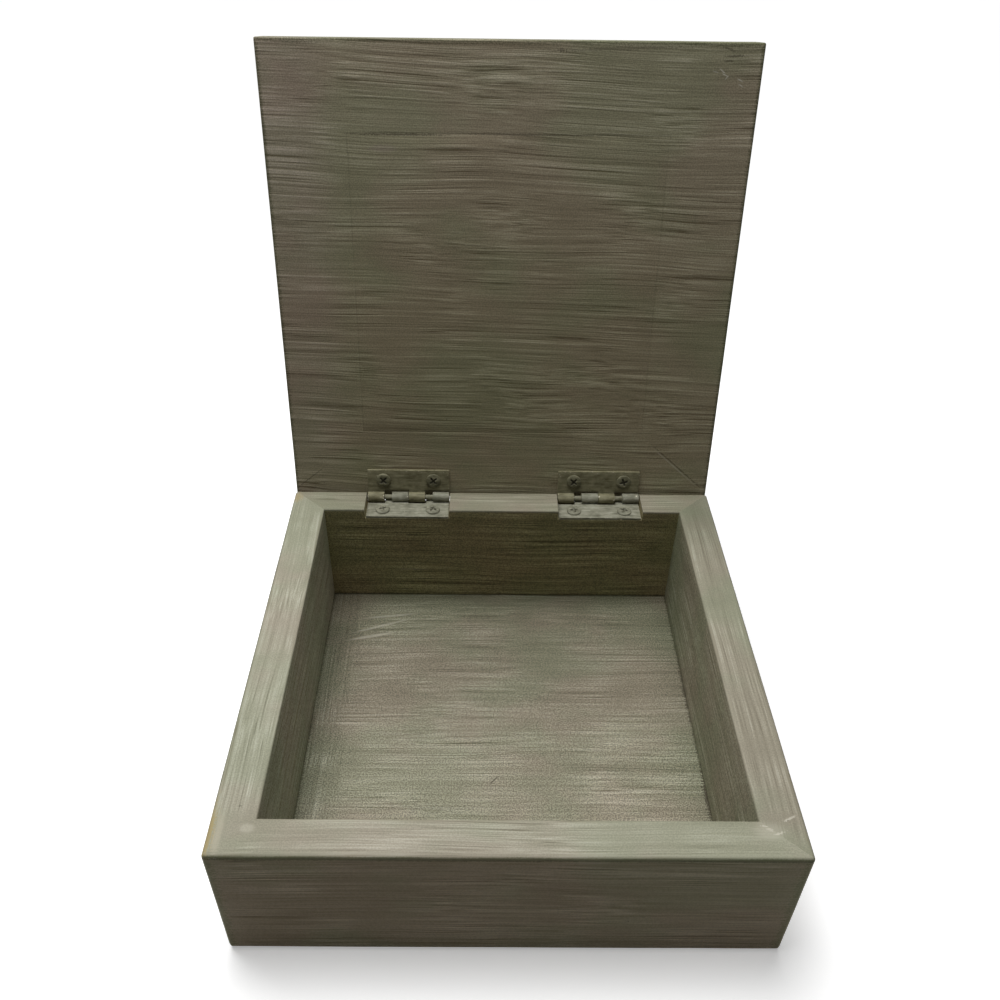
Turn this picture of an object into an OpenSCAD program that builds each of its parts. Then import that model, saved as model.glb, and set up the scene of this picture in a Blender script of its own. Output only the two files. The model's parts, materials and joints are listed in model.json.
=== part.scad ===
// Small square wooden keepsake box: a mitred tray with a let-in floor, a framed lid standing
// open against the stops of two painted butt hinges, and the hinges' pins and pan-head screws.
// Millimetres, +Z up. The origin is the middle of the underside and the front faces -Y.

/* [Box body] */
// Width of the box across its front
box_w = 140; // [120:1:220]
// Depth of the box from front to back
box_d = 139; // [90:1:220]
// Height of the box body without the lid
box_h = 42; // [28:1:120]
// Thickness of the left and right walls
side_wall = 11; // [8:0.5:16]
// Thickness of the front and back walls
end_wall = 10.3; // [9.3:0.1:14]
// Thickness of the floor board, whose underside is flush with the walls
floor_t = 4; // [3:0.5:8]
// Width of the rebate that the floor board sits in
floor_rebate = 5; // [2:0.5:6.5]

/* [Lid] */
// Thickness of the lid's frame
lid_t = 11; // [9.5:0.5:18]
// Width of the four mitred lid rails, seen from inside
rail_w = 23.8; // [18:0.1:35]
// Thickness of the lid panel, flush with the rails inside
panel_t = 8; // [4:0.5:8.5]
// Width of the lip that holds the panel on the outside
panel_lip = 5; // [2:0.5:8]
// Angle between the standing lid and the closed one
open_angle = 100.5; // [92:0.5:110]
// Gap between the closed lid and the rim of the box
lid_gap = 0.3; // [0.2:0.1:1]

/* [Softened edges] */
// Radius of the body's upright corners and upper edges
edge_r = 1; // [0.6:0.1:2.4]
// Radius of the body's lower edges
foot_r = 2; // [0.6:0.1:2.4]
// Radius of the lid's outer edges
lid_edge_r = 0.5; // [0.3:0.1:2]

/* [Hinges] */
// Length of each hinge along its pin
hinge_l = 27.5; // [25:0.5:34]
// Distance between the middles of the two hinges
hinge_spacing = 64.5; // [56:0.5:76]
// How far the pair of hinges sits to the right of the middle
hinge_shift = 0.6; // [0:0.1:2]
// Thickness of the leaves
leaf_t = 0.9; // [0.6:0.1:1]
// Length of one knuckle
knuckle_l = 5.5; // [4:0.1:6]
// Outer radius of the knuckles
knuckle_r = 1.75; // [1.6:0.05:1.8]
// Radius of the pins
pin_r = 0.85; // [0.6:0.05:0.9]
// Distance from the pin's axis to the wood that each leaf lies on
pin_lift = 2; // [1.95:0.05:2.4]
// How far the pin's axis lies inside the back face of the box
pin_inset = 0.8; // [0.3:0.1:1.2]
// How far each pin stands out of the end knuckles
pin_proud = 0.2; // [0.1:0.1:0.6]

/* [Screws] */
// Radius of the screw heads
head_r = 2.4; // [2:0.1:2.5]
// Height of the screw heads above the leaf
head_h = 0.85; // [0.6:0.05:0.9]
// Radius of the screw shanks
shank_r = 1.1; // [0.8:0.1:1.3]
// Length of the screws below the head
screw_l = 8.5; // [6:0.5:9]
// Distance from each screw to the end of its leaf
screw_end = 5.3; // [4:0.1:6.5]
// Distance from the screws to the free edge of the leaf
screw_edge = 3.6; // [3:0.1:3.9]
// Length of the screws' points
tip_l = 1.6; // [1:0.1:2.5]
// Radius of the blunt end of the points
tip_r = 0.25; // [0.1:0.05:0.5]
// Width of the two arms of the cross slot
slot_w = 0.6; // [0.4:0.05:0.8]
// How much deeper the pilot holes are than the screws
pilot_spare = 1; // [0.5:0.1:1.5]

/* [Clearances] */
// Radial play of the pin in the lid's knuckles
pin_play = 0.05; // [0.02:0.01:0.09]
// Radial play of the pin in the body's knuckles, where it is held
pin_snug = 0.01; // [0.01:0.01:0.02]
// Gap between knuckles that stand side by side
knuckle_gap = 0.2; // [0.1:0.05:0.4]
// Gap between a knuckle and the edge of the other leaf
leaf_gap = 0.3; // [0.2:0.05:0.5]
// Gap between a leaf and each end of its mortise
mortise_gap = 0.35; // [0.3:0.05:1]
// Distance from the tabs of a body leaf, which run on under the pin, to the back face
tab_inset = 0.1; // [0:0.05:0.5]
// Distance from the leaf's free edge to the inner face of the wall
leaf_set_in = 0.1; // [0:0.05:0.5]
// Radial gap round a shank in its leaf
screw_gap = 0.15; // [0.1:0.05:0.3]
// Radial gap round a shank in the wood
pilot_gap = 0.02; // [0.01:0.01:0.05]
// Gap between a let-in board and its rebate, all round
board_gap = 0.15; // [0.05:0.05:0.4]

/* [Hidden] */
$fn = 48;
wood = "#7d7563";
wood_dark = "#6a6253";
metal = "#8c8574";
steel = "#b5afa0";

pin_y = box_d / 2 - pin_inset;
pin_z = box_h + lid_gap - pin_lift;
mortise_depth = 2 * pin_lift - lid_gap;
mortise_l = hinge_l + 2 * mortise_gap;
leaf_w = end_wall - pin_inset - leaf_set_in;
leaf_start = knuckle_r + leaf_gap;
screw_reach = leaf_w - screw_edge;
lid_z = box_h + lid_gap;
rim_h = head_h * 0.4;
slot_l = 1.25 * head_r;
slot_depth = head_h * 0.6;
past = 1;

LEFT = -1;
RIGHT = 1;
NEAR = -1;
FAR = 1;
FRONT = 0;
WEST = 1;
BACK = 2;
EAST = 3;

// ---- Places ----

function hinge_x(side) = hinge_shift + side * hinge_spacing / 2;
function beyond(outer, inner) = outer + (outer - inner) * 0.2;

// A child drawn round the pin's axis, closed, with the leaves reaching towards -Y
module at_pin(side) {
    translate([hinge_x(side), pin_y, pin_z]) children();
}

// A child drawn as part of the closed lid, swung up to the standing lid's place
module swung_open() {
    translate([0, pin_y, pin_z])
        rotate([-open_angle, 0, 0])
            translate([0, -pin_y, -pin_z])
                children();
}

// ---- Wood ----

// Upright rectangle on its own base line, with rounded lower and upper corners
module soft_rectangle(w, h, r_low, r_high) {
    translate([-w / 2, r_low]) square([w, h - r_low - r_high]);
    translate([-w / 2 + r_low, 0]) square([w - 2 * r_low, h / 2]);
    translate([-w / 2 + r_high, h / 2]) square([w - 2 * r_high, h / 2]);
    for (side = [-1, 1]) {
        translate([side * (w / 2 - r_low), r_low]) circle(r_low);
        translate([side * (w / 2 - r_high), h - r_high]) circle(r_high);
    }
}

// Block with all of its outer edges softened
module soft_block(w, d, h, r_low, r_high) {
    intersection() {
        translate([0, -d / 2, 0]) linear_extrude(h) soft_rectangle(w, d, r_high, r_high);
        translate([0, d / 2 + past, 0]) rotate([90, 0, 0])
            linear_extrude(d + 2 * past) soft_rectangle(w, h, r_low, r_high);
        translate([-w / 2 - past, 0, 0]) rotate([90, 0, 90])
            linear_extrude(w + 2 * past) soft_rectangle(d, h, r_low, r_high);
    }
}

// Plan of the mitred stick along the -Y side of a frame, wider than the frame at its outer side
module stick_plan(w, d, end_t, side_t) {
    outer = [w / 2, -d / 2];
    inner = [w / 2 - side_t, -d / 2 + end_t];
    tip = beyond(outer, inner);
    polygon([[-tip[0], tip[1]], tip, inner, [-inner[0], inner[1]]]);
}

// One mitred stick of a frame of soft-edged stock; quarter 0 is the front, 1 left, 2 back, 3 right
module frame_stick(quarter, w, d, h, end_t, side_t, r_low, r_high) {
    across = quarter % 2 == 0;
    intersection() {
        soft_block(w, d, h, r_low, r_high);
        rotate([0, 0, -90 * quarter])
            translate([0, 0, -past])
                linear_extrude(h + 2 * past)
                    stick_plan(across ? w : d, across ? d : w,
                               across ? end_t : side_t, across ? side_t : end_t);
    }
}

// Board centred on the origin's Z axis, grown or shrunk by a margin all round
module board(w, d, t, margin = 0) {
    translate([-w / 2 - margin, -d / 2 - margin, 0]) cube([w + 2 * margin, d + 2 * margin, t]);
}

// The floor board's place, from the underside upwards
module floor_blank(t, margin = 0) {
    board(box_w - 2 * side_wall + 2 * floor_rebate, box_d - 2 * end_wall + 2 * floor_rebate, t, margin);
}

module wall(quarter) {
    difference() {
        frame_stick(quarter, box_w, box_d, box_h, end_wall, side_wall, foot_r, edge_r);
        translate([0, 0, -past]) floor_blank(floor_t + past);
    }
}

module front_wall() {
    color(wood) wall(FRONT);
}

module left_wall() {
    color(wood_dark) wall(WEST);
}

module right_wall() {
    color(wood_dark) wall(EAST);
}

// The back wall has a mortise for each hinge, open to the back and to the inside
module back_wall() {
    color(wood)
        difference() {
            wall(BACK);
            for (side = [LEFT, RIGHT]) {
                translate([hinge_x(side) - mortise_l / 2, box_d / 2 - end_wall - past, box_h - mortise_depth])
                    cube([mortise_l, end_wall + 2 * past, mortise_depth + past]);
                at_pin(side) screw_holes(pilot_gap);
            }
        }
}

module floor_board() {
    color(wood) floor_blank(floor_t, -board_gap);
}

// The panel's place, from the rails' inner face outwards
module panel_blank(t, margin = 0) {
    board(box_w - 2 * rail_w, box_d - 2 * rail_w, t, margin);
}

module rail(quarter) {
    difference() {
        translate([0, 0, lid_z])
            frame_stick(quarter, box_w, box_d, lid_t, rail_w + panel_lip, rail_w + panel_lip,
                        lid_edge_r, lid_edge_r);
        translate([0, 0, lid_z - past]) panel_blank(panel_t + past);
    }
}

module lid_front_rail() {
    color(wood) swung_open() rail(FRONT);
}

module lid_left_rail() {
    color(wood_dark) swung_open() rail(WEST);
}

module lid_right_rail() {
    color(wood_dark) swung_open() rail(EAST);
}

module lid_back_rail() {
    color(wood)
        swung_open()
            difference() {
                rail(BACK);
                for (side = [LEFT, RIGHT]) {
                    at_pin(side) mirror([0, 0, 1]) screw_holes(pilot_gap);
                }
            }
}

module lid_panel() {
    color(wood) swung_open() translate([0, 0, lid_z]) panel_blank(panel_t, -board_gap);
}

// ---- Hinges, drawn round the pin's axis with the leaf below it ----

function lid_knuckles() = [-hinge_l / 2, knuckle_gap / 2];
function body_knuckles() = [-knuckle_l - knuckle_gap / 2, hinge_l / 2 - knuckle_l];

// Cylinder along the pin's axis from x, of the given length
module along_pin(x, length, r) {
    translate([x, 0, 0]) rotate([0, 90, 0]) cylinder(h = length, r = r);
}

module at_screw(end) {
    translate([end * (hinge_l / 2 - screw_end), -screw_reach, -pin_lift + leaf_t]) children();
}

module screw_holes(gap) {
    for (end = [NEAR, FAR]) {
        at_screw(end)
            translate([0, 0, -screw_l - pilot_spare])
                cylinder(h = screw_l + pilot_spare + past, r = shank_r + gap);
    }
}

// Leaf with its two knuckles rolled up round the pin
module leaf(knuckles, play) {
    difference() {
        union() {
            translate([-hinge_l / 2, -leaf_w, -pin_lift]) cube([hinge_l, leaf_w - leaf_start, leaf_t]);
            for (x = knuckles) {
                translate([x, -leaf_start, -pin_lift]) cube([knuckle_l, leaf_start, leaf_t]);
                along_pin(x, knuckle_l, knuckle_r);
            }
        }
        along_pin(-hinge_l / 2 - past, hinge_l + 2 * past, pin_r + play);
        screw_holes(screw_gap);
    }
}

// The body leaf runs on under the pin where neither leaf has a knuckle.
module tabs() {
    for (i = [0, 1]) {
        start = lid_knuckles()[i] + knuckle_l + leaf_gap;
        width = body_knuckles()[i] - start;
        if (width > 0)
            translate([start, -leaf_start, -pin_lift])
                cube([width, leaf_start + pin_inset - tab_inset, leaf_t]);
    }
}

module hinge_body_leaf(side) {
    color(metal) at_pin(side) {
        leaf(body_knuckles(), pin_snug);
        tabs();
    }
}

module hinge_lid_leaf(side) {
    color(metal) swung_open() at_pin(side) mirror([0, 0, 1]) leaf(lid_knuckles(), pin_play);
}

module hinge_pin(side) {
    color(steel) at_pin(side) along_pin(-hinge_l / 2 - pin_proud, hinge_l + 2 * pin_proud, pin_r);
}

// ---- Screws, drawn with the head's seat at z = 0 ----

module head_profile() {
    crown = head_h - rim_h;
    dome_r = (head_r * head_r + crown * crown) / (2 * crown);
    intersection() {
        square([head_r, head_h]);
        translate([0, head_h - dome_r]) circle(dome_r, $fn = 160);
    }
}

module pan_head_screw() {
    difference() {
        union() {
            rotate_extrude() head_profile();
            translate([0, 0, tip_l - screw_l]) cylinder(h = screw_l - tip_l, r = shank_r);
            translate([0, 0, -screw_l]) cylinder(h = tip_l, r1 = tip_r, r2 = shank_r);
        }
        for (turn = [0, 90]) {
            rotate([0, 0, turn])
                translate([-slot_l / 2, -slot_w / 2, head_h - slot_depth])
                    cube([slot_l, slot_w, slot_depth + past]);
        }
    }
}

module body_screw(side, end) {
    color(steel) at_pin(side) at_screw(end) pan_head_screw();
}

module lid_screw(side, end) {
    color(steel) swung_open() at_pin(side) mirror([0, 0, 1]) at_screw(end) pan_head_screw();
}

front_wall();
back_wall();
left_wall();
right_wall();
floor_board();
lid_front_rail();
lid_back_rail();
lid_left_rail();
lid_right_rail();
lid_panel();
hinge_body_leaf(LEFT);  // left_hinge_body_leaf
hinge_lid_leaf(LEFT);  // left_hinge_lid_leaf
hinge_pin(LEFT);  // left_hinge_pin
hinge_body_leaf(RIGHT);  // right_hinge_body_leaf
hinge_lid_leaf(RIGHT);  // right_hinge_lid_leaf
hinge_pin(RIGHT);  // right_hinge_pin
body_screw(LEFT, NEAR);  // left_hinge_body_screw_outer
body_screw(LEFT, FAR);  // left_hinge_body_screw_inner
lid_screw(LEFT, NEAR);  // left_hinge_lid_screw_outer
lid_screw(LEFT, FAR);  // left_hinge_lid_screw_inner
body_screw(RIGHT, FAR);  // right_hinge_body_screw_outer
body_screw(RIGHT, NEAR);  // right_hinge_body_screw_inner
lid_screw(RIGHT, FAR);  // right_hinge_lid_screw_outer
lid_screw(RIGHT, NEAR);  // right_hinge_lid_screw_inner
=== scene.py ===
"""Dresses the keepsake box: painted wooden box and lid, painted hinges, pins and screws.

Lengths in dataclass fields are in millimetres, apart from the studio's. Meshes are made in
millimetres and turned into metres when they become objects.
"""

import json
import logging
import math
from dataclasses import dataclass, field, replace
from enum import Enum

import bmesh
import bpy
from mathutils import Matrix, Vector

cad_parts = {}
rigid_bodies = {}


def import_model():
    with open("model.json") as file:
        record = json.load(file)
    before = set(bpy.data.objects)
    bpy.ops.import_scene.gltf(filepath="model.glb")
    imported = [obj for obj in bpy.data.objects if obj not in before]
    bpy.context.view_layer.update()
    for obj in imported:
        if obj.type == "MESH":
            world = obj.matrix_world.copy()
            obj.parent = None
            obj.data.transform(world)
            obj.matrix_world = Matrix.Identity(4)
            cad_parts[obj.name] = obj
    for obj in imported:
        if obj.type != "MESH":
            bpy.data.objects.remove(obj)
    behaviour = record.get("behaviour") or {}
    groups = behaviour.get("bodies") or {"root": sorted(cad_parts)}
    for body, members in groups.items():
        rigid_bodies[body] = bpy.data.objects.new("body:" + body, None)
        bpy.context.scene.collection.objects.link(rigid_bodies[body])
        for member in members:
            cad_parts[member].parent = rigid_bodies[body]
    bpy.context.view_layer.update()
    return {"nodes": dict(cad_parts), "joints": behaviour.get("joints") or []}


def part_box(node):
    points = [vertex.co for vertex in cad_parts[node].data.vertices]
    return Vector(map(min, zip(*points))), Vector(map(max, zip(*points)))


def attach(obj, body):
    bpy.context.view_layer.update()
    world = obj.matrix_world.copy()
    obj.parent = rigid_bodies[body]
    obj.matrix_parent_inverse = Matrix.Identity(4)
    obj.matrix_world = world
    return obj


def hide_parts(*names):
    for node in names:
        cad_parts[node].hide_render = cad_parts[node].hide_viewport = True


for leftover in list(bpy.data.objects):
    bpy.data.objects.remove(leftover)
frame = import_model()

MM = 0.001
MERGE_DISTANCE = 0.0005
SLIVER_LENGTH = 0.0002
TOUCHING = 0.01
HINGE_JOINT = frame["joints"][0]
PIN_AXIS = Vector(HINGE_JOINT["pos_m"]) / MM
CLOSING_ANGLE = math.radians(HINGE_JOINT["range_deg"][0])
CLOSING = (
    Matrix.Translation(PIN_AXIS)
    @ Matrix.Rotation(CLOSING_ANGLE, 4, Vector(HINGE_JOINT["axis"]))
    @ Matrix.Translation(-PIN_AXIS)
)
OPENING = CLOSING.inverted()

Colour = tuple[float, float, float]
Point = tuple[float, float, float]
Socket = bpy.types.NodeSocket
Source = float | tuple | Socket

log = logging.getLogger("keepsake_box")


@dataclass(frozen=True)
class Layer:
    """One noise of a finish: its features' size each way, its detail, seed and strength."""

    pitch: Point
    detail: float
    seed: float = 0.0
    gain: float = 1.0


LANES = Layer((150.0, 9.0, 9.0), 1.0, gain=0.25)
BUNDLES = Layer((100.0, 1.7, 1.7), 1.0, 3.1, gain=0.38)
HAIRS = Layer((60.0, 0.42, 0.42), 1.0, 7.7, gain=0.8)
CROSS_HAIRS = Layer((40.0, 0.5, 0.5), 1.0)
DRAGS = Layer((44.0, 0.5, 0.5), 0.0, 27.0)
BRUSH_DRIFT = Layer((70.0, 34.0, 34.0), 1.0, 19.0)
BLOTS = Layer((22.0, 13.0, 13.0), 3.0, 11.3)
PATCHES = Layer((38.0, 26.0, 26.0), 3.0, 41.0)
GRAIN = Layer((0.4, 0.4, 0.4), 1.0, 23.0)
METAL_STREAKS = Layer((6.0, 0.8, 0.8), 3.0, gain=0.5)
METAL_BLOTCHES = Layer((2.4, 1.6, 1.6), 3.0, 5.0, gain=0.5)
METAL_CHIPS = Layer((0.9, 0.6, 0.6), 2.0, 9.0)


class Quarter(Enum):
    """The four sides of a frame, by their quarter turns from the front."""

    FRONT = 0
    LEFT = 1
    BACK = 2
    RIGHT = 3


class Strokes(Enum):
    """The way that the brush was drawn, as a turn in radians that brings it to X."""

    ALONG_X = 0.0
    ALONG_Y = math.pi / 2


class Side(Enum):
    """Which of the two hinges a piece belongs to."""

    LEFT = "left"
    RIGHT = "right"


def paint_tone(red: int, green: int, blue: int) -> Colour:
    """Turns a display colour into a linear one.

    Args:
        red: red, from 0 to 255.
        green: green, from 0 to 255.
        blue: blue, from 0 to 255.

    Returns:
        The linear colour that shows as this one.
    """
    return tuple(
        (c / 255 / 12.92) if c <= 10 else ((c / 255 + 0.055) / 1.055) ** 2.4
        for c in (red, green, blue)
    )


def box_mm(*nodes: str) -> tuple[Vector, Vector]:
    """Finds the box of some CAD nodes as they stand.

    Args:
        nodes: the nodes' names.

    Returns:
        The lowest and highest corners, in millimetres.
    """
    boxes = [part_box(node) for node in nodes]
    low = Vector([min(b[0][i] for b in boxes) for i in range(3)]) / MM
    high = Vector([max(b[1][i] for b in boxes) for i in range(3)]) / MM
    return low, high


def closed_box_mm(*nodes: str) -> tuple[Vector, Vector]:
    """Finds the box of some of the lid's CAD nodes as they lie when the lid is shut.

    Args:
        nodes: the nodes' names.

    Returns:
        The lowest and highest corners, in millimetres.
    """
    points = [
        CLOSING @ (vertex.co / MM)
        for node in nodes
        for vertex in frame["nodes"][node].data.vertices
    ]
    low = Vector([min(p[i] for p in points) for i in range(3)])
    high = Vector([max(p[i] for p in points) for i in range(3)])
    return low, high


def steps_between(start: float, end: float, pitch: float) -> list[float]:
    """Divides a length evenly, without its two ends.

    Args:
        start: where the length starts.
        end: where it ends, above or below the start.
        pitch: the widest step that is allowed.

    Returns:
        The places between the ends.
    """
    count = max(1, math.ceil(abs(end - start) / pitch))
    return [start + (end - start) * i / count for i in range(1, count)]


# ---- Node trees ----


class Nodes:
    """Adds nodes to a tree and joins them up."""

    def __init__(self, tree: bpy.types.NodeTree) -> None:
        """Starts on a tree."""
        self.tree = tree

    def add(self, kind: str, inputs: dict | None = None, **settings: object) -> bpy.types.Node:
        """Adds one node.

        Args:
            kind: the node's type name.
            inputs: what feeds its sockets, by their names or numbers.
            settings: the node's own properties.

        Returns:
            The new node.
        """
        node = self.tree.nodes.new(kind)
        for name, value in settings.items():
            setattr(node, name, value)
        for key, source in (inputs or {}).items():
            self.feed(node.inputs[key], source)
        return node

    def feed(self, socket: Socket, source: Source) -> None:
        """Gives a socket its link or its constant."""
        if isinstance(source, Socket):
            self.tree.links.new(source, socket)
        else:
            socket.default_value = source

    def math(self, operation: str, a: Source, b: Source = 0.0, clamp: bool = False) -> Socket:
        """Joins two numbers.

        Args:
            operation: the Math node's operation.
            a: the first number.
            b: the second number.
            clamp: whether the result is kept from 0 to 1.

        Returns:
            The result's socket.
        """
        node = self.add("ShaderNodeMath", {0: a, 1: b}, operation=operation, use_clamp=clamp)
        return node.outputs[0]

    def vector(self, operation: str, a: Source, b: Source = (0.0, 0.0, 0.0)) -> Socket:
        """Joins two vectors.

        Args:
            operation: the Vector Math node's operation.
            a: the first vector.
            b: the second vector.

        Returns:
            The result's socket, a number for a length and a vector for the rest.
        """
        node = self.add("ShaderNodeVectorMath", {0: a, 1: b}, operation=operation)
        return node.outputs["Value" if operation == "LENGTH" else "Vector"]

    def parts(self, vector: Source) -> bpy.types.NodeOutputs:
        """Splits a vector into its X, Y and Z."""
        return self.add("ShaderNodeSeparateXYZ", {0: vector}).outputs

    def scaled(self, vector: Source, factor: Source) -> Socket:
        """Multiplies a vector by a number."""
        product = self.vector("SCALE", vector)
        self.feed(product.node.inputs["Scale"], factor)
        return product

    def times(self, a: Source, b: Source) -> Socket:
        """Multiplies two numbers."""
        return self.math("MULTIPLY", a, b)

    def about_zero(self, value: Source, gain: float = 1.0) -> Socket:
        """Moves a number that lies round 0.5 to lie round 0, and strengthens it."""
        moved = self.math("SUBTRACT", value, 0.5)
        return moved if gain == 1.0 else self.times(moved, gain)

    def attribute(self, name: str) -> Socket:
        """Reads a number that the mesh keeps at its points."""
        return self.add("ShaderNodeAttribute", attribute_name=name).outputs["Fac"]

    def bump(self, height: Source) -> Socket:
        """Raises the surface by a height in millimetres and gives its normal."""
        node = self.add("ShaderNodeBump", {"Height": height, "Strength": 1.0, "Distance": MM})
        return node.outputs["Normal"]

    def noise(self, place: Source, layer: Layer, seed: float = 0.0, output: str = "Fac") -> Socket:
        """Adds a noise that is stretched differently each way.

        Args:
            place: the coordinates that it is read at.
            layer: the noise.
            seed: what is added to the layer's own seed.
            output: "Fac" for a number, "Color" for three.

        Returns:
            The noise's socket, about 0.5 on average.
        """
        scale = tuple(1.0 / pitch for pitch in layer.pitch)
        seed += layer.seed
        shift = tuple(seed * apart for apart in (5.3, 7.1, 3.7))
        stretched = self.add(
            "ShaderNodeMapping", {"Vector": place, "Scale": scale, "Location": shift}
        )
        node = self.add("ShaderNodeTexNoise", {
            "Vector": stretched.outputs["Vector"],
            "Scale": 1.0,
            "Detail": layer.detail,
            "Roughness": 0.55,
        })
        return node.outputs[output]

    def spread(self, value: Source, low: float, high: float, to_low: float = 0.0,
               to_high: float = 1.0) -> Socket:
        """Maps a range smoothly to another one.

        Args:
            value: the number to map.
            low: where the range starts.
            high: where it ends.
            to_low: the result at and before the start.
            to_high: the result at and past the end.

        Returns:
            The result's socket.
        """
        limits = {"From Min": low, "From Max": high, "To Min": to_low, "To Max": to_high}
        node = self.add(
            "ShaderNodeMapRange", {"Value": value, **limits}, interpolation_type="SMOOTHSTEP"
        )
        return node.outputs["Result"]

    def about_one(self, value: Source, depth: float) -> Socket:
        """Turns a number that lies round 0.5 into a brightness within a depth of 1."""
        return self.spread(value, 0.3, 0.7, 1.0 - depth, 1.0 + depth)

    def mix(self, share: Source, a: Source, b: Source, blend: str = "MIX") -> Socket:
        """Mixes two colours.

        Args:
            share: how much of the second colour shows.
            a: the first colour.
            b: the second colour.
            blend: the way they are blended.

        Returns:
            The mixed colour's socket.
        """
        node = self.add("ShaderNodeMix", data_type="RGBA", blend_type=blend)
        for index, source in ((0, share), (6, a), (7, b)):
            is_colour = index > 0 and isinstance(source, tuple)
            self.feed(node.inputs[index], (*source, 1.0) if is_colour else source)
        return node.outputs[2]

    def ramp(self, value: Source, stops: list[tuple[float, Colour]]) -> Socket:
        """Turns a number into a colour.

        Args:
            value: the number.
            stops: places from 0 to 1 and the colours there.

        Returns:
            The colour's socket.
        """
        node = self.add("ShaderNodeValToRGB", {"Fac": value})
        elements = node.color_ramp.elements
        while len(elements) < len(stops):
            elements.new(0.5)
        for element, (place, colour) in zip(elements, stops):
            element.position = place
            element.color = (*colour, 1.0)
        return node.outputs["Color"]


def new_material(name: str) -> tuple[bpy.types.Material, Nodes, bpy.types.Node]:
    """Makes a material with a plain shader.

    Args:
        name: the material's name.

    Returns:
        The material, its nodes and its Principled shader.
    """
    material = bpy.data.materials.new(name)
    material.use_nodes = True
    nodes = Nodes(material.node_tree)
    return material, nodes, material.node_tree.nodes["Principled BSDF"]


# ---- Finishes ----


@dataclass(frozen=True)
class Mark:
    """A worn, scratched or stained spot in the paint, placed with the lid shut."""

    place: Point
    reach: Point
    tint: Colour
    strength: float = 0.8
    ragged: float = 0.7
    turn: float = 0.0


@dataclass(frozen=True)
class Border:
    """A rectangle's edge, where the paint changes over a short way in from it."""

    half: tuple[float, float]
    reach: float
    tint: Colour
    centre: tuple[float, float] = (0.0, 0.0)


@dataclass(frozen=True)
class Fade:
    """A tint that grows along one axis, from nothing to full."""

    start: float
    end: float
    tint: Colour
    axis: str = "Y"


@dataclass(frozen=True)
class WallFaces:
    """How the upright faces of a wall differ from its rim.

    A pair of numbers says where a tint starts and where it is full: in from the box's outside
    for the outer faces and the corners, and down from the rim's edge for the dark line.
    """

    half: tuple[float, float]
    rim_z: float
    # Painted light: the outer faces are painted lighter and warmer than the rim.
    outer: Colour = (1.4, 1.25, 1.05)
    # Painted light and shade on the inner faces, set for each wall.
    inner: Colour = (1.0, 1.0, 1.0)
    corner: Colour = (0.6, 0.68, 0.56)
    # The dark line under the rim: partly dark paint, partly painted shade on the rounded arris
    # where it starts.
    under_rim: Colour = (0.34, 0.36, 0.27)
    outer_reach: tuple[float, float] = (1.8, 0.8)
    corner_reach: tuple[float, float] = (3.2, 0.8)
    corner_ragged: float = 3.0
    line_top: tuple[float, float] = (-0.45, -0.05)
    line_foot: tuple[float, float] = (1.0, 0.45)
    line_ragged: float = 0.5
    inner_grain: float = 0.26
    mitre_blur: float = 9.0
    mitre_strength: float = 0.08
    rim_strength: float = 0.6


@dataclass(frozen=True)
class PanelSeam:
    """The joint round the lid's panel, which shows through the paint as a fine broken line."""

    centre: tuple[float, float]
    half: tuple[float, float]
    line_w: float = 0.3
    faintest: float = 0.12
    strength: float = 0.22
    line: Colour = paint_tone(70, 62, 47)
    panel_tint: Colour = (0.96, 0.94, 0.93)


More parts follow.
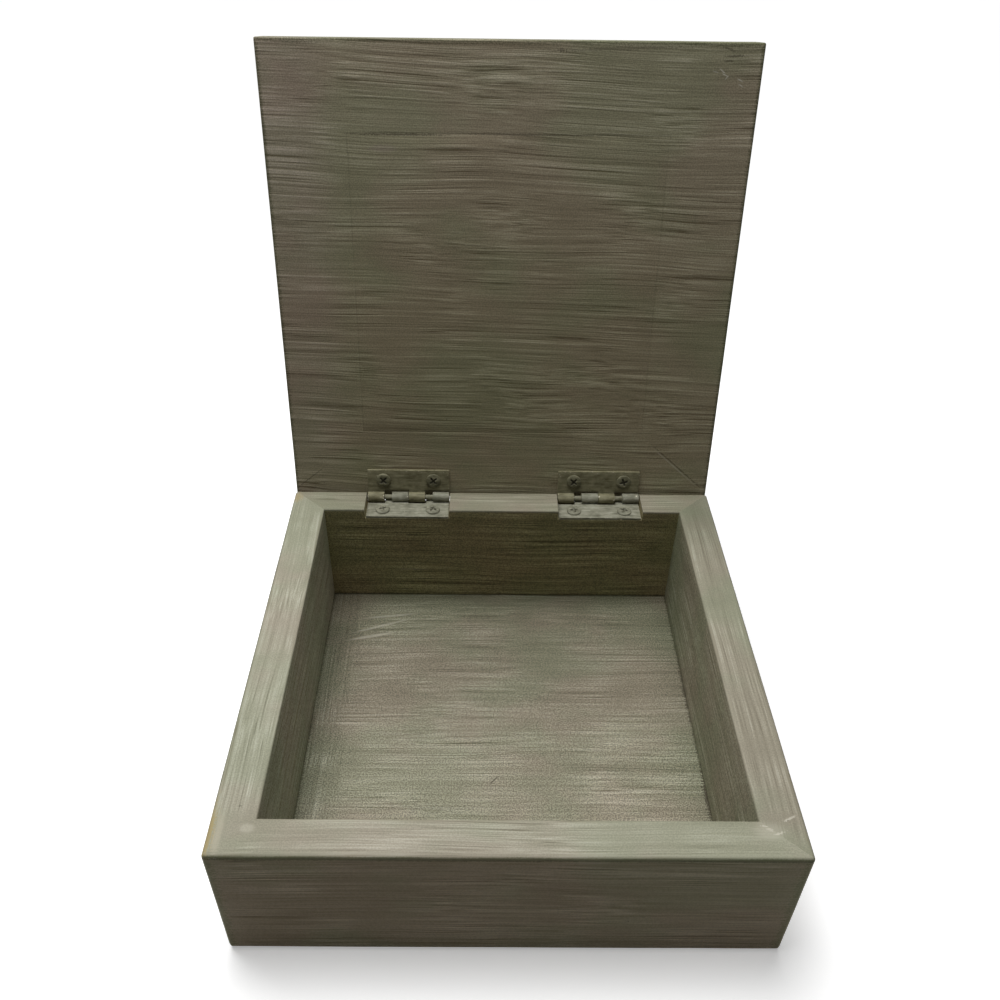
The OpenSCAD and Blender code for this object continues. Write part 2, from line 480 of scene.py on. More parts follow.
@dataclass(frozen=True)
class BrushedPaint:
    """Thin green-grey paint, brushed on by hand over taupe, with the strokes showing."""

    name: str
    seed: float
    strokes: Strokes = Strokes.ALONG_X
    on_lid: bool = False
    slant: float = 0.0
    shade: Colour = paint_tone(92, 89, 68)
    body: Colour = paint_tone(142, 139, 117)
    light: Colour = paint_tone(184, 180, 160)
    blush_shade: Colour = paint_tone(98, 88, 71)
    blush: Colour = paint_tone(149, 139, 121)
    blush_light: Colour = paint_tone(190, 181, 163)
    tint: Colour = (1.0, 1.0, 1.0)
    contrast: float = 1.0
    cloudiness: float = 0.3
    wave: float = 2.2
    ridge: float = 0.025
    graininess: float = 0.14
    rubbed: float = 0.5
    under_paint: Colour = paint_tone(112, 104, 80)
    speck: Colour = paint_tone(48, 42, 32)
    speck_spacing: float = 6.0
    speck_size: float = 0.05
    stroke_strength: tuple[float, float] = (0.45, 1.5)
    dark_drag: float = 0.2
    light_drag: float = 0.16
    cross_ragged: float = 16.0
    cross_blend: float = 3.0
    roughness: tuple[float, float] = (0.68, 0.52)
    specular: float = 0.25
    faces: WallFaces | None = None
    borders: tuple[Border, ...] = ()
    fades: tuple[Fade, ...] = ()
    cross_past: float | None = None
    seam: PanelSeam | None = None
    marks: tuple[Mark, ...] = ()

    def build(self) -> bpy.types.Material:
        """Makes the material.

        Returns:
            The material, which reads the piece's own object coordinates.
        """
        material, nodes, shader = new_material(self.name)
        place = self.lie_flat(nodes)
        along = self.follow_brush(nodes, place)
        hairs = nodes.noise(along, HAIRS, self.seed)
        grain = nodes.noise(place, GRAIN)
        blots = nodes.noise(place, BLOTS)
        tone = self.stroke_tone(nodes, place, along, hairs, blots)
        if self.cross_past is not None:
            tone = self.cross_strokes(nodes, place, blots, tone)
        colour = self.stroke_colour(nodes, tone, place)
        colour = self.add_grain(nodes, place, grain, colour)
        ragged = nodes.math("ADD", nodes.about_zero(grain), nodes.about_zero(hairs))
        if self.faces:
            colour = self.tint_faces(nodes, place, grain, ragged, colour)
        for border in self.borders:
            colour = self.add_border(nodes, place, border, ragged, colour)
        for fade in self.fades:
            share = nodes.spread(nodes.parts(place)[fade.axis], fade.start, fade.end)
            colour = nodes.mix(share, colour, fade.tint, "MULTIPLY")
        for mark in self.marks:
            colour = self.add_mark(nodes, place, mark, ragged, colour)
        if self.seam:
            colour = self.add_seam(nodes, place, blots, colour)
        colour = self.add_wear(nodes, blots, grain, colour)
        nodes.feed(shader.inputs["Base Color"], colour)
        nodes.feed(shader.inputs["Roughness"], nodes.spread(tone, 0.2, 0.8, *self.roughness))
        shader.inputs["Specular IOR Level"].default_value = self.specular
        nodes.feed(shader.inputs["Normal"], self.brush_ridges(nodes, tone, hairs, grain))
        return material

    def lie_flat(self, nodes: Nodes) -> Socket:
        """Gives the coordinates in millimetres, with the lid shut."""
        read = nodes.add("ShaderNodeTexCoord")
        inputs = {"Vector": read.outputs["Object"], "Scale": (1 / MM, 1 / MM, 1 / MM)}
        if self.on_lid:
            inputs["Rotation"] = CLOSING.to_euler()
            inputs["Location"] = CLOSING.to_translation()
        return nodes.add("ShaderNodeMapping", inputs).outputs["Vector"]

    def follow_brush(self, nodes: Nodes, place: Socket) -> Socket:
        """Turns the strokes to X and makes them wander.

        Args:
            nodes: the material's nodes.
            place: coordinates in millimetres.

        Returns:
            The coordinates that the strokes are drawn in.
        """
        turn = (0.0, 0.0, self.strokes.value + self.slant)
        turned = nodes.add("ShaderNodeMapping", {"Vector": place, "Rotation": turn})
        along = turned.outputs["Vector"]
        drift = nodes.noise(along, BRUSH_DRIFT, self.seed, "Color")
        sway = nodes.vector("SUBTRACT", drift, (0.5, 0.5, 0.5))
        sway = nodes.vector("MULTIPLY", sway, (0.0, self.wave * 2, self.wave * 2))
        return nodes.vector("ADD", along, sway)

    def stroke_tone(self, nodes: Nodes, place: Socket, along: Socket, hairs: Socket,
                    blots: Socket) -> Socket:
        """Adds up the strokes' widths into one number from dark to light.

        Args:
            nodes: the material's nodes.
            place: coordinates in millimetres.
            along: the coordinates that the strokes are drawn in.
            hairs: the finest streaks.
            blots: uneven spots, where the strokes are plainer or stronger.

        Returns:
            The tone, about 0.5 on average.
        """
        lanes = nodes.about_zero(nodes.noise(along, LANES, self.seed), LANES.gain)
        bundles = nodes.about_zero(nodes.noise(along, BUNDLES, self.seed), BUNDLES.gain)
        drags = nodes.noise(along, DRAGS, self.seed)
        strength = nodes.spread(blots, 0.36, 0.64, *self.stroke_strength)
        if self.faces:
            strength = nodes.times(strength, self.away_from_mitre(nodes, place))
            rim, height = self.faces.rim_z, nodes.parts(place)["Z"]
            calm = nodes.spread(height, rim - 1.0, rim, 1.0, self.faces.rim_strength)
            strength = nodes.times(strength, calm)
        dark = nodes.spread(drags, 0.34, 0.24, 0.0, -self.dark_drag)
        light = nodes.spread(drags, 0.68, 0.78, 0.0, self.light_drag)
        fine = nodes.math("ADD", bundles, nodes.about_zero(hairs, HAIRS.gain))
        fine = nodes.math("ADD", fine, nodes.math("ADD", dark, light))
        fine = nodes.times(nodes.times(fine, strength), self.contrast)
        cloud = nodes.about_zero(blots, self.cloudiness)
        total = nodes.math("ADD", nodes.math("ADD", lanes, fine), cloud)
        return nodes.math("ADD", total, 0.5, clamp=True)

    def away_from_mitre(self, nodes: Nodes, place: Socket) -> Socket:
        """Says how far a spot is from the mitres, where the brush turned and blurred its strokes.

        Args:
            nodes: the material's nodes.
            place: coordinates in millimetres.

        Returns:
            A low share at the mitre and 1 well away from it.
        """
        aside, behind = self.inward_of(nodes, place, self.faces.half)
        apart = nodes.math("ABSOLUTE", nodes.math("SUBTRACT", aside, behind))
        return nodes.spread(apart, 0.0, self.faces.mitre_blur, self.faces.mitre_strength, 1.0)

    def inward_of(self, nodes: Nodes, place: Socket, half: tuple[float, float],
                  centre: tuple[float, float] = (0.0, 0.0)) -> tuple[Socket, ...]:
        """Says how far a spot lies inside a rectangle's sides.

        Args:
            nodes: the material's nodes.
            place: coordinates in millimetres.
            half: half the rectangle's width and depth.
            centre: its centre.

        Returns:
            The distances from the nearer side in X and in Y.
        """
        offset = nodes.vector("ABSOLUTE", nodes.vector("SUBTRACT", place, (*centre, 0.0)))
        parts = nodes.parts(offset)
        return tuple(nodes.math("SUBTRACT", size, parts[axis]) for size, axis in zip(half, "XY"))

    def cross_strokes(self, nodes: Nodes, place: Socket, blots: Socket, tone: Socket) -> Socket:
        """Brushes the strip along the left side the other way.

        Args:
            nodes: the material's nodes.
            place: coordinates in millimetres.
            blots: uneven spots.
            tone: the tone of the strokes so far.

        Returns:
            The tone with the strip in it.
        """
        turned = replace(self, strokes=Strokes.ALONG_Y, seed=self.seed + 2.0)
        along = turned.follow_brush(nodes, place)
        hairs = nodes.noise(along, CROSS_HAIRS, turned.seed)
        other = turned.stroke_tone(nodes, place, along, hairs, blots)
        ragged = nodes.about_zero(blots, self.cross_ragged)
        across = nodes.math("ADD", nodes.parts(place)["X"], ragged)
        share = nodes.spread(across, self.cross_past + self.cross_blend,
                             self.cross_past - self.cross_blend)
        lean = nodes.times(share, nodes.math("SUBTRACT", other, tone))
        return nodes.math("ADD", tone, lean)

    def tint_faces(self, nodes: Nodes, place: Socket, grain: Socket, ragged: Socket,
                   colour: Socket) -> Socket:
        """Tints a wall's upright faces, darker at its corners and just under the rim.

        Args:
            nodes: the material's nodes.
            place: coordinates in millimetres.
            grain: the fine grain.
            ragged: the fine noise that breaks up the outlines.
            colour: the colour so far.

        Returns:
            The colour's socket.
        """
        faces = self.faces
        aside, behind = self.inward_of(nodes, place, faces.half)
        outside = nodes.spread(nodes.math("MINIMUM", aside, behind), *faces.outer_reach)
        height = nodes.parts(place)["Z"]
        below = nodes.spread(height, faces.rim_z, faces.rim_z - 0.5)
        out_share = nodes.times(outside, below)
        in_share = nodes.times(nodes.math("SUBTRACT", 1.0, outside), below)
        # Painted light: the outer faces lighter and warmer than the rim; painted light and shade
        # on the inner faces, by wall.
        colour = nodes.mix(out_share, colour, faces.outer, "MULTIPLY")
        colour = nodes.mix(in_share, colour, faces.inner, "MULTIPLY")
        speckle = nodes.about_one(grain, faces.inner_grain)
        colour = nodes.mix(in_share, colour, speckle, "MULTIPLY")
        past_corner = nodes.math("ADD", nodes.math("MAXIMUM", aside, behind),
                                 nodes.times(ragged, faces.corner_ragged))
        at_corner = nodes.times(nodes.spread(past_corner, *faces.corner_reach), out_share)
        colour = nodes.mix(at_corner, colour, faces.corner, "MULTIPLY")
        # The dark line under the rim: partly dark paint, partly painted shade that reaches up onto
        # the rounded arris.
        drop = nodes.math("ADD", nodes.math("SUBTRACT", faces.rim_z, height),
                          nodes.times(ragged, faces.line_ragged))
        line = nodes.times(nodes.spread(drop, *faces.line_top),
                           nodes.spread(drop, *faces.line_foot))
        return nodes.mix(nodes.times(line, outside), colour, faces.under_rim, "MULTIPLY")

    def add_border(self, nodes: Nodes, place: Socket, border: Border, ragged: Socket,
                   colour: Socket) -> Socket:
        """Tints the paint along a rectangle's edge.

        Args:
            nodes: the material's nodes.
            place: coordinates in millimetres.
            border: the rectangle and its tint.
            ragged: the fine noise that breaks up the outline.
            colour: the colour so far.

        Returns:
            The colour's socket.
        """
        aside, behind = self.inward_of(nodes, place, border.half, border.centre)
        ragged = nodes.times(ragged, border.reach * 0.8)
        inward = nodes.math("ADD", nodes.math("MINIMUM", aside, behind), ragged)
        return nodes.mix(nodes.spread(inward, border.reach, 0.0), colour, border.tint, "MULTIPLY")

    def stroke_colour(self, nodes: Nodes, tone: Socket, place: Socket) -> Socket:
        """Colours the strokes, greener in some patches and pinker in others.

        Args:
            nodes: the material's nodes.
            tone: how light the stroke is.
            place: coordinates in millimetres.

        Returns:
            The colour's socket.
        """
        green = (self.shade, self.body, self.light)
        pink = (self.blush_shade, self.blush, self.blush_light)
        ramps = []
        for colours in (green, pink):
            tinted = [tuple(c * t for c, t in zip(colour, self.tint)) for colour in colours]
            ramps.append(nodes.ramp(tone, list(zip((0.08, 0.5, 0.92), tinted))))
        return nodes.mix(nodes.spread(nodes.noise(place, PATCHES), 0.38, 0.62), *ramps)

    def add_grain(self, nodes: Nodes, place: Socket, grain: Socket, colour: Socket) -> Socket:
        """Adds a fine grain and a few dark specks.

        Args:
            nodes: the material's nodes.
            place: coordinates in millimetres.
            grain: the fine noise.
            colour: the colour so far.

        Returns:
            The colour's socket.
        """
        grained = nodes.scaled(colour, nodes.about_one(grain, self.graininess))
        cells = nodes.add("ShaderNodeTexVoronoi",
                          {"Vector": place, "Scale": 1 / self.speck_spacing})
        chance = nodes.add("ShaderNodeSeparateColor", {"Color": cells.outputs["Color"]})
        size = nodes.times(nodes.math("POWER", chance.outputs["Red"], 4.0), self.speck_size)
        inside = nodes.math("LESS_THAN", cells.outputs["Distance"], size)
        return nodes.mix(nodes.times(inside, 0.5), grained, self.speck)

    def add_mark(self, nodes: Nodes, place: Socket, mark: Mark, ragged: Socket,
                 colour: Socket) -> Socket:
        """Adds one worn or stained spot.

        Args:
            nodes: the material's nodes.
            place: coordinates in millimetres.
            mark: the spot.
            ragged: the fine noise that breaks up its outline.
            colour: the colour so far.

        Returns:
            The colour's socket.
        """
        turned = nodes.add(
            "ShaderNodeMapping",
            {"Vector": place, "Location": mark.place, "Scale": mark.reach,
             "Rotation": (0.0, 0.0, math.radians(mark.turn))},
            vector_type="TEXTURE",
        )
        away = nodes.vector("LENGTH", turned.outputs["Vector"])
        away = nodes.math("ADD", away, nodes.times(ragged, mark.ragged * 3))
        share = nodes.spread(away, 1.0, 0.45, 0.0, mark.strength)
        return nodes.mix(share, colour, mark.tint)

    def add_seam(self, nodes: Nodes, place: Socket, blots: Socket, colour: Socket) -> Socket:
        """Shows the joint round the panel, and the panel a little darker than its rails.

        Args:
            nodes: the material's nodes.
            place: coordinates in millimetres.
            blots: uneven spots, where the line breaks off.
            colour: the colour so far.

        Returns:
            The colour's socket.
        """
        aside, behind = self.inward_of(nodes, place, self.seam.half, self.seam.centre)
        past = nodes.times(nodes.math("MINIMUM", aside, behind), -1.0)
        inside = nodes.spread(past, 0.2, -0.4, 0.0, 0.5)
        colour = nodes.mix(inside, colour, self.seam.panel_tint, "MULTIPLY")
        line = nodes.spread(nodes.math("ABSOLUTE", past), self.seam.line_w, 0.05)
        broken = nodes.spread(blots, 0.42, 0.58, self.seam.faintest, self.seam.strength)
        return nodes.mix(nodes.times(line, broken), colour, self.seam.line)

    def add_wear(self, nodes: Nodes, blots: Socket, grain: Socket, colour: Socket) -> Socket:
        """Rubs the paint thin along the edges, where the mesh's wear says so.

        Args:
            nodes: the material's nodes.
            blots: uneven spots.
            grain: the fine noise.
            colour: the colour so far.

        Returns:
            The colour's socket.
        """
        thin = nodes.math("ADD", blots, nodes.about_zero(grain, 0.5))
        thin = nodes.spread(thin, 0.5, 0.74, 0.0, self.rubbed)
        return nodes.mix(nodes.times(nodes.attribute("wear"), thin), colour, self.under_paint)

    def brush_ridges(self, nodes: Nodes, tone: Socket, hairs: Socket, grain: Socket) -> Socket:
        """Raises the strokes a little.

        Args:
            nodes: the material's nodes.
            tone: the strokes' tone.
            hairs: the finest streaks.
            grain: the fine noise.

        Returns:
            The normal's socket.
        """
        coarse = nodes.times(tone, self.ridge * 1.6)
        fine = nodes.times(hairs, self.ridge)
        tooth = nodes.times(grain, self.ridge)
        return nodes.bump(nodes.math("ADD", nodes.math("ADD", coarse, fine), tooth))


@dataclass(frozen=True)
class PaintedMetal:
    """Sheet steel under a brushed coat of the box's paint, rubbed bright in spots."""

    name: str
    seed: float
    coat: Colour = paint_tone(124, 122, 102)
    coat_light: Colour = paint_tone(154, 152, 132)
    coat_shade: Colour = paint_tone(86, 84, 66)
    steel: Colour = paint_tone(186, 180, 162)
    # Painted shade: the colour that darkens the screws' cross recesses.
    recess_shade: Colour = paint_tone(40, 37, 26)
    bare: float = 0.3
    recess_shade_strength: float = 0.85
    roughness: tuple[float, float] = (0.6, 0.35)
    specular: float = 0.22
    metallic: float = 0.85
    streak_h: float = 0.05
    blotch_h: float = 0.08
    coat_t: float = 0.02

    def build(self) -> bpy.types.Material:
        """Makes the material.

        Returns:
            The material, which reads the piece's own object coordinates.
        """
        material, nodes, shader = new_material(self.name)
        read = nodes.add("ShaderNodeTexCoord").outputs["Object"]
        place = nodes.vector("MULTIPLY", read, (1 / MM, 1 / MM, 1 / MM))
        streaks = nodes.noise(place, METAL_STREAKS, self.seed)
        blotches = nodes.noise(place, METAL_BLOTCHES, self.seed)
        tone = nodes.math("ADD", nodes.times(streaks, METAL_STREAKS.gain),
                          nodes.times(blotches, METAL_BLOTCHES.gain))
        stops = [(0.32, self.coat_shade), (0.5, self.coat), (0.68, self.coat_light)]
        chips = nodes.noise(place, METAL_CHIPS, self.seed)
        lean = nodes.math("ADD", chips, nodes.times(nodes.attribute("wear"), 0.08))
        bare = nodes.spread(lean, 0.80 - 0.3 * self.bare, 0.86 - 0.3 * self.bare)
        # Painted shade in the screws' cross recesses, from how far each point lies in the cross.
        recess_shade = nodes.spread(nodes.attribute("recess_shade"), 0.05, 0.5, 0.0, self.recess_shade_strength)
        colour = nodes.mix(bare, nodes.ramp(tone, stops), self.steel)
        nodes.feed(shader.inputs["Base Color"], nodes.mix(recess_shade, colour, self.recess_shade))
        nodes.feed(shader.inputs["Metallic"], nodes.times(bare, self.metallic))
        shader.inputs["Specular IOR Level"].default_value = self.specular
        nodes.feed(shader.inputs["Roughness"], nodes.spread(bare, 0.0, 1.0, *self.roughness))
        height = nodes.math("ADD", nodes.times(streaks, self.streak_h),
                            nodes.times(blotches, self.blotch_h))
        height = nodes.math("SUBTRACT", height, nodes.times(bare, self.coat_t))
        nodes.feed(shader.inputs["Normal"], nodes.bump(height))
        return material


# ---- Shapes ----


@dataclass(frozen=True)
class ProfilePoint:
    """A point of a stick's cross-section: how far in from the outer face, how high, how worn."""

    inward: float
    height: float
    wear: float = 0.0


def bend(centre: tuple[float, float], radius: float, start: float, end: float, steps: int,
         wear: float = 0.0) -> list[ProfilePoint]:
    """Rounds a corner of a cross-section.

    Args:
        centre: the arc's centre.
        radius: its radius.
        start: its first angle in degrees, where 0 points inward and 90 up.
        end: its last angle in degrees.
        steps: how many segments it has.
        wear: how worn the corner is.

    Returns:
        The arc's points, both ends with it.
    """
    points = []
    for i in range(steps + 1):
        angle = math.radians(start + (end - start) * i / steps)
        inward = centre[0] + radius * math.cos(angle)
        points.append(ProfilePoint(inward, centre[1] + radius * math.sin(angle), wear))
    return points


def run(start: ProfilePoint, end: ProfilePoint, pitch: float,
        support: float = 0.0) -> list[ProfilePoint]:
    """Divides a straight stretch of a cross-section, without its two ends.

    Args:
        start: where the stretch starts.
        end: where it ends.
        pitch: the widest step that is allowed.
        support: the distance from each end to a point that holds the flat, or 0 for none.

    Returns:
        The points between the ends.
    """
    a, b = Vector((start.inward, start.height)), Vector((end.inward, end.height))
    length = (b - a).length
    inner = steps_between(support, length - support, pitch)
    places = [support, *inner, length - support] if support else inner
    return [ProfilePoint(*a.lerp(b, place / length)) for place in places]


@dataclass
class Stick:
    """One mitred stick of a frame, with a rounded outer corner at each end."""

    quarter: Quarter
    width: float
    depth: float
    end_t: float
    side_t: float
    corner_r: float
    base: float
    profile: list[ProfilePoint]
    pitch: float = 4.0
    end_steps: tuple[float, ...] = (2.2, 1.5, 1.1, 0.8, 0.5, 0.25, 0.0)
    notches: tuple[tuple[float, float], ...] = ()
    notch_floor: float = 0.0

    @property
    def length(self) -> float:
        """The frame's size along the stick."""
        return self.width if self.quarter in (Quarter.FRONT, Quarter.BACK) else self.depth

    @property
    def across(self) -> float:
        """The frame's size across the stick."""
        return self.depth if self.quarter in (Quarter.FRONT, Quarter.BACK) else self.width

    def mitre(self, inward: float) -> float:
        """Says how far the mitre has come in along the stick.

        Args:
            inward: the distance from the stick's outer face.

        Returns:
            The distance from the frame's outer end.
        """
        own, other = self.end_t, self.side_t
        if self.quarter in (Quarter.LEFT, Quarter.RIGHT):
            own, other = other, own
        r = self.corner_r
        return inward if inward <= r else r + (inward - r) * (other - r) / (own - r)

    def stations(self) -> list[tuple[float, float | None, float | None, bool]]:
        """Lists the places along the stick that get a cross-section.

        Returns:
            For each place how far it lies between two stops, the stops, where None stands
            for the mitre, and whether it lies in a notch.
        """
        stops: list[tuple[float | None, float | None, bool]] = []
        start = None
        for low, high in sorted(self.notches):
            stops += [(start, low, False), (low, high, True)]
            start = high
        stops.append((start, None, False))
        places = []
        for low, high, inside in stops:
            first = -self.length / 2 if low is None else low
            last = self.length / 2 if high is None else high
            shares = [0.0, *steps_between(0.0, 1.0, self.pitch / (last - first)), 1.0]
            places += [(share, low, high, inside) for share in shares]
        return places

    def point(self, station: tuple[float, float | None, float | None, bool], spot: ProfilePoint,
              end_step: float = 0.0) -> Vector:
        """Places one point of the stick.

        Args:
            station: where along the stick it lies.
            spot: where in the cross-section it lies.
            end_step: how far past the last station it lies, towards the mitre.

        Returns:
            The point, with the stick turned to its side of the frame.
        """
        share, low, high, inside = station
        half = self.length / 2 - self.mitre(spot.inward) - self.end_steps[0]
        start, end = (-half if low is None else low), (half if high is None else high)
        x = start + (end - start) * share + end_step
        height = min(spot.height, self.notch_floor) if inside else spot.height
        x, y = self.round_corner(x, -self.across / 2 + spot.inward)
        turn = Matrix.Rotation(-math.pi / 2 * self.quarter.value, 3, "Z")
        return turn @ Vector((x, y, height + self.base))

    def round_corner(self, x: float, y: float) -> tuple[float, float]:
        """Brings a point near the frame's outer corner onto the rounded corner.

        Args:
            x: the place along the stick.
            y: the place across it.

        Returns:
            The rounded place.
        """
        r = self.corner_r
        centre = Vector((math.copysign(self.length / 2 - r, x), -self.across / 2 + r))
        away = Vector((x, y)) - centre
        past_x = away.x * math.copysign(1.0, x)
        if past_x <= 0 or away.y >= 0 or away.length == 0:
            return x, y
        reach = max(past_x, -away.y)
        rounded = centre + away.normalized() * reach
        return rounded.x, rounded.y

    def build(self) -> bmesh.types.BMesh:
        """Makes the stick's closed mesh.

        Returns:
            The mesh, in millimetres, with each vertex's wear.
        """
        shape = bmesh.new()
        wear = shape.verts.layers.float.new("wear")
        stations = self.stations()
        depth = self.end_steps[0]
        sections = [(stations[0], left - depth) for left in reversed(self.end_steps[1:])]
        sections += [(station, 0.0) for station in stations]
        sections += [(stations[-1], depth - left) for left in self.end_steps[1:]]
        rings = []
        for station, end_step in sections:
            ring = []
            for spot in self.profile:
                vertex = shape.verts.new(self.point(station, spot, end_step))
                vertex[wear] = spot.wear
                ring.append(vertex)
            rings.append(ring)
        count = len(self.profile)
        for ring, following in zip(rings, rings[1:]):
            for i in range(count):
                j = (i + 1) % count
                shape.faces.new((ring[i], ring[j], following[j], following[i]))
        shape.faces.new(reversed(rings[0]))
        shape.faces.new(rings[-1])
        bmesh.ops.remove_doubles(shape, verts=shape.verts, dist=MERGE_DISTANCE)
        bmesh.ops.dissolve_degenerate(shape, edges=shape.edges, dist=SLIVER_LENGTH)
        bmesh.ops.recalc_face_normals(shape, faces=shape.faces)
        return shape


@dataclass
class SoftBoard:
    """A flat board with all of its edges rounded."""

    low: Vector
    high: Vector
    radius: float
    pitch: float = 4.0
    rounding_steps: int = 2

    def axis_places(self, axis: int) -> list[float]:
        """Lists the lattice's places along one axis.

        Args:
            axis: 0 for X, 1 for Y and 2 for Z.

        Returns:
            The places, closer together at the two rounded edges.
        """
        low, high = self.low[axis], self.high[axis]
        border = [self.radius * i / self.rounding_steps for i in range(self.rounding_steps + 1)]
        middle = steps_between(low + self.radius, high - self.radius, self.pitch)
        return [*[low + b for b in border], *middle, *[high - b for b in reversed(border)]]

    def build(self) -> bmesh.types.BMesh:
        """Makes the board's closed mesh.

        Returns:
            The mesh, in millimetres, with each vertex's wear.
        """
        shape = bmesh.new()
        wear = shape.verts.layers.float.new("wear")
        places = [self.axis_places(axis) for axis in range(3)]
        last = [len(p) - 1 for p in places]
        found: dict[tuple[int, int, int], bmesh.types.BMVert] = {}

        def corner(cell: tuple[int, int, int]) -> bmesh.types.BMVert:
            """Gives the vertex of one lattice point, made when it is first asked for."""
            if cell not in found:
                raw = Vector([places[axis][cell[axis]] for axis in range(3)])
                found[cell] = shape.verts.new(self.round_off(raw))
                outermost = sum(c in (0, 1, n, n - 1) for c, n in zip(cell, last))
                found[cell][wear] = float(outermost > 1)
            return found[cell]

        for axis in range(3):
            a, b = (axis + 1) % 3, (axis + 2) % 3
            for end in (0, last[axis]):
                for i in range(last[a]):
                    for j in range(last[b]):
                        cells = []
                        for di, dj in ((0, 0), (1, 0), (1, 1), (0, 1)):
                            cell = [0, 0, 0]
                            cell[axis], cell[a], cell[b] = end, i + di, j + dj
                            cells.append(corner(tuple(cell)))
                        shape.faces.new(cells)
        bmesh.ops.recalc_face_normals(shape, faces=shape.faces)
        return shape

    def round_off(self, raw: Vector) -> Vector:
        """Brings a point of the sharp box onto the rounded one."""
        r = self.radius
        inner = Vector([min(max(raw[i], self.low[i] + r), self.high[i] - r) for i in range(3)])
        away = raw - inner
        return inner + away.normalized() * r if away.length > 0 else raw


def soften_sharp_edges(shape: bmesh.types.BMesh, width: float, sharp: float = 40.0) -> None:
    """Bevels every edge that is sharper than an angle.

    Args:
        shape: the mesh, which is changed.
        width: the bevel's width.
        sharp: the angle in degrees above which an edge is bevelled.
    """
    edges = [e for e in shape.edges if e.calc_face_angle(0.0) > math.radians(sharp)]
    bmesh.ops.bevel(shape, geom=edges, offset=width, segments=2, profile=0.7, affect="EDGES",
                    clamp_overlap=True)


def make_object(name: str, shape: bmesh.types.BMesh, place: Matrix = Matrix.Identity(4),
                smooth: float = 35.0) -> bpy.types.Object:
    """Turns a mesh in millimetres into an object in metres.

    Args:
        name: the object's name.
        shape: the mesh, which is freed.
        place: where the mesh is moved to.
        smooth: the angle in degrees up to which its shading is smooth.

    Returns:
        The new object, which sits at the origin.
    """
    shape.transform(Matrix.Scale(MM, 4) @ place)
    mesh = bpy.data.meshes.new(name)
    shape.to_mesh(mesh)
    shape.free()
    mesh.shade_smooth()
    mesh.set_sharp_from_angle(angle=math.radians(smooth))
    made = bpy.data.objects.new(name, mesh)
    bpy.context.scene.collection.objects.link(made)
    return made


def bake_geometry(made: bpy.types.Object) -> None:
    """Turns an object's evaluated modifiers into its plain mesh."""
    graph = bpy.context.evaluated_depsgraph_get()
    evaluated = made.evaluated_get(graph)
    mesh = bpy.data.meshes.new_from_object(
        evaluated, preserve_all_data_layers=True, depsgraph=graph
    )
    mesh.name = made.name
    made.modifiers.clear()
    made.data = mesh


def swing_open(made: bpy.types.Object) -> None:
    """Turns a piece of the shut lid to where the lid stands open."""
    made.data.transform(Matrix.Scale(MM, 4) @ OPENING @ Matrix.Scale(1 / MM, 4))


# ---- Geometry node trees ----


class GeometryRecipe:
    """A geometry node tree with named inputs, which ends in Realize Instances and Set Material."""

    def __init__(self, name: str, numbers: dict[str, str]) -> None:
        """Starts the tree.

        Args:
            name: the tree's name.
            numbers: the names and socket types of its inputs, after Geometry and Material.
        """
        self.tree = bpy.data.node_groups.new(name, "GeometryNodeTree")
        new_socket = self.tree.interface.new_socket
        new_socket("Geometry", in_out="OUTPUT", socket_type="NodeSocketGeometry")
        sockets = {"Geometry": "NodeSocketGeometry", "Material": "NodeSocketMaterial", **numbers}
        self.identifiers = {
            label: new_socket(label, in_out="INPUT", socket_type=kind).identifier
            for label, kind in sockets.items()
        }
        self.nodes = Nodes(self.tree)
        self.inputs = self.nodes.add("NodeGroupInput").outputs

    def end(self, geometry: Socket) -> None:
        """Closes the tree on its last geometry."""
        whole = self.nodes.add("GeometryNodeRealizeInstances", {"Geometry": geometry})
        dressed = self.nodes.add(
            "GeometryNodeSetMaterial",
            {"Geometry": whole.outputs[0], "Material": self.inputs["Material"]},
        )
        self.nodes.add("NodeGroupOutput", {"Geometry": dressed.outputs[0]})

    def apply(self, made: bpy.types.Object, values: dict[str, object]) -> None:
        """Runs the tree on an object and keeps the result as its mesh.

        Args:
            made: the object.
            values: the inputs' values by name.
        """
        modifier = made.modifiers.new(self.tree.name, "NODES")
        modifier.node_group = self.tree
        for label, value in values.items():
            modifier[self.identifiers[label]] = value
        bake_geometry(made)


class HandFinish(GeometryRecipe):
    """Sands wood a little out of true, alike on all the pieces that meet."""

    def __init__(self) -> None:
        """Builds the tree."""
        super().__init__("hand finish", {
            "Unevenness": "NodeSocketFloat",
            "Wavelength": "NodeSocketFloat",
            "Lowest": "NodeSocketVector",
            "Highest": "NodeSocketVector",
            "Seed": "NodeSocketFloat",
        })
        nodes, inputs = self.nodes, self.inputs
        place = nodes.add("GeometryNodeInputPosition").outputs[0]
        scaled = nodes.scaled(place, nodes.math("DIVIDE", 1.0, inputs["Wavelength"]))
        wander = nodes.add(
            "ShaderNodeTexNoise",
            {"Vector": scaled, "W": inputs["Seed"], "Scale": 1.0, "Detail": 2.0},
            noise_dimensions="4D",
        )
        drift = nodes.vector("SUBTRACT", wander.outputs["Color"], (0.5, 0.5, 0.5))
        moved = nodes.vector("ADD", place, nodes.scaled(drift, inputs["Unevenness"]))
        held = nodes.vector("MAXIMUM", moved, inputs["Lowest"])
        held = nodes.vector("MINIMUM", held, inputs["Highest"])
        sanded = nodes.add("GeometryNodeSetPosition",
                           {"Geometry": inputs["Geometry"], "Position": held})
        self.end(sanded.outputs[0])


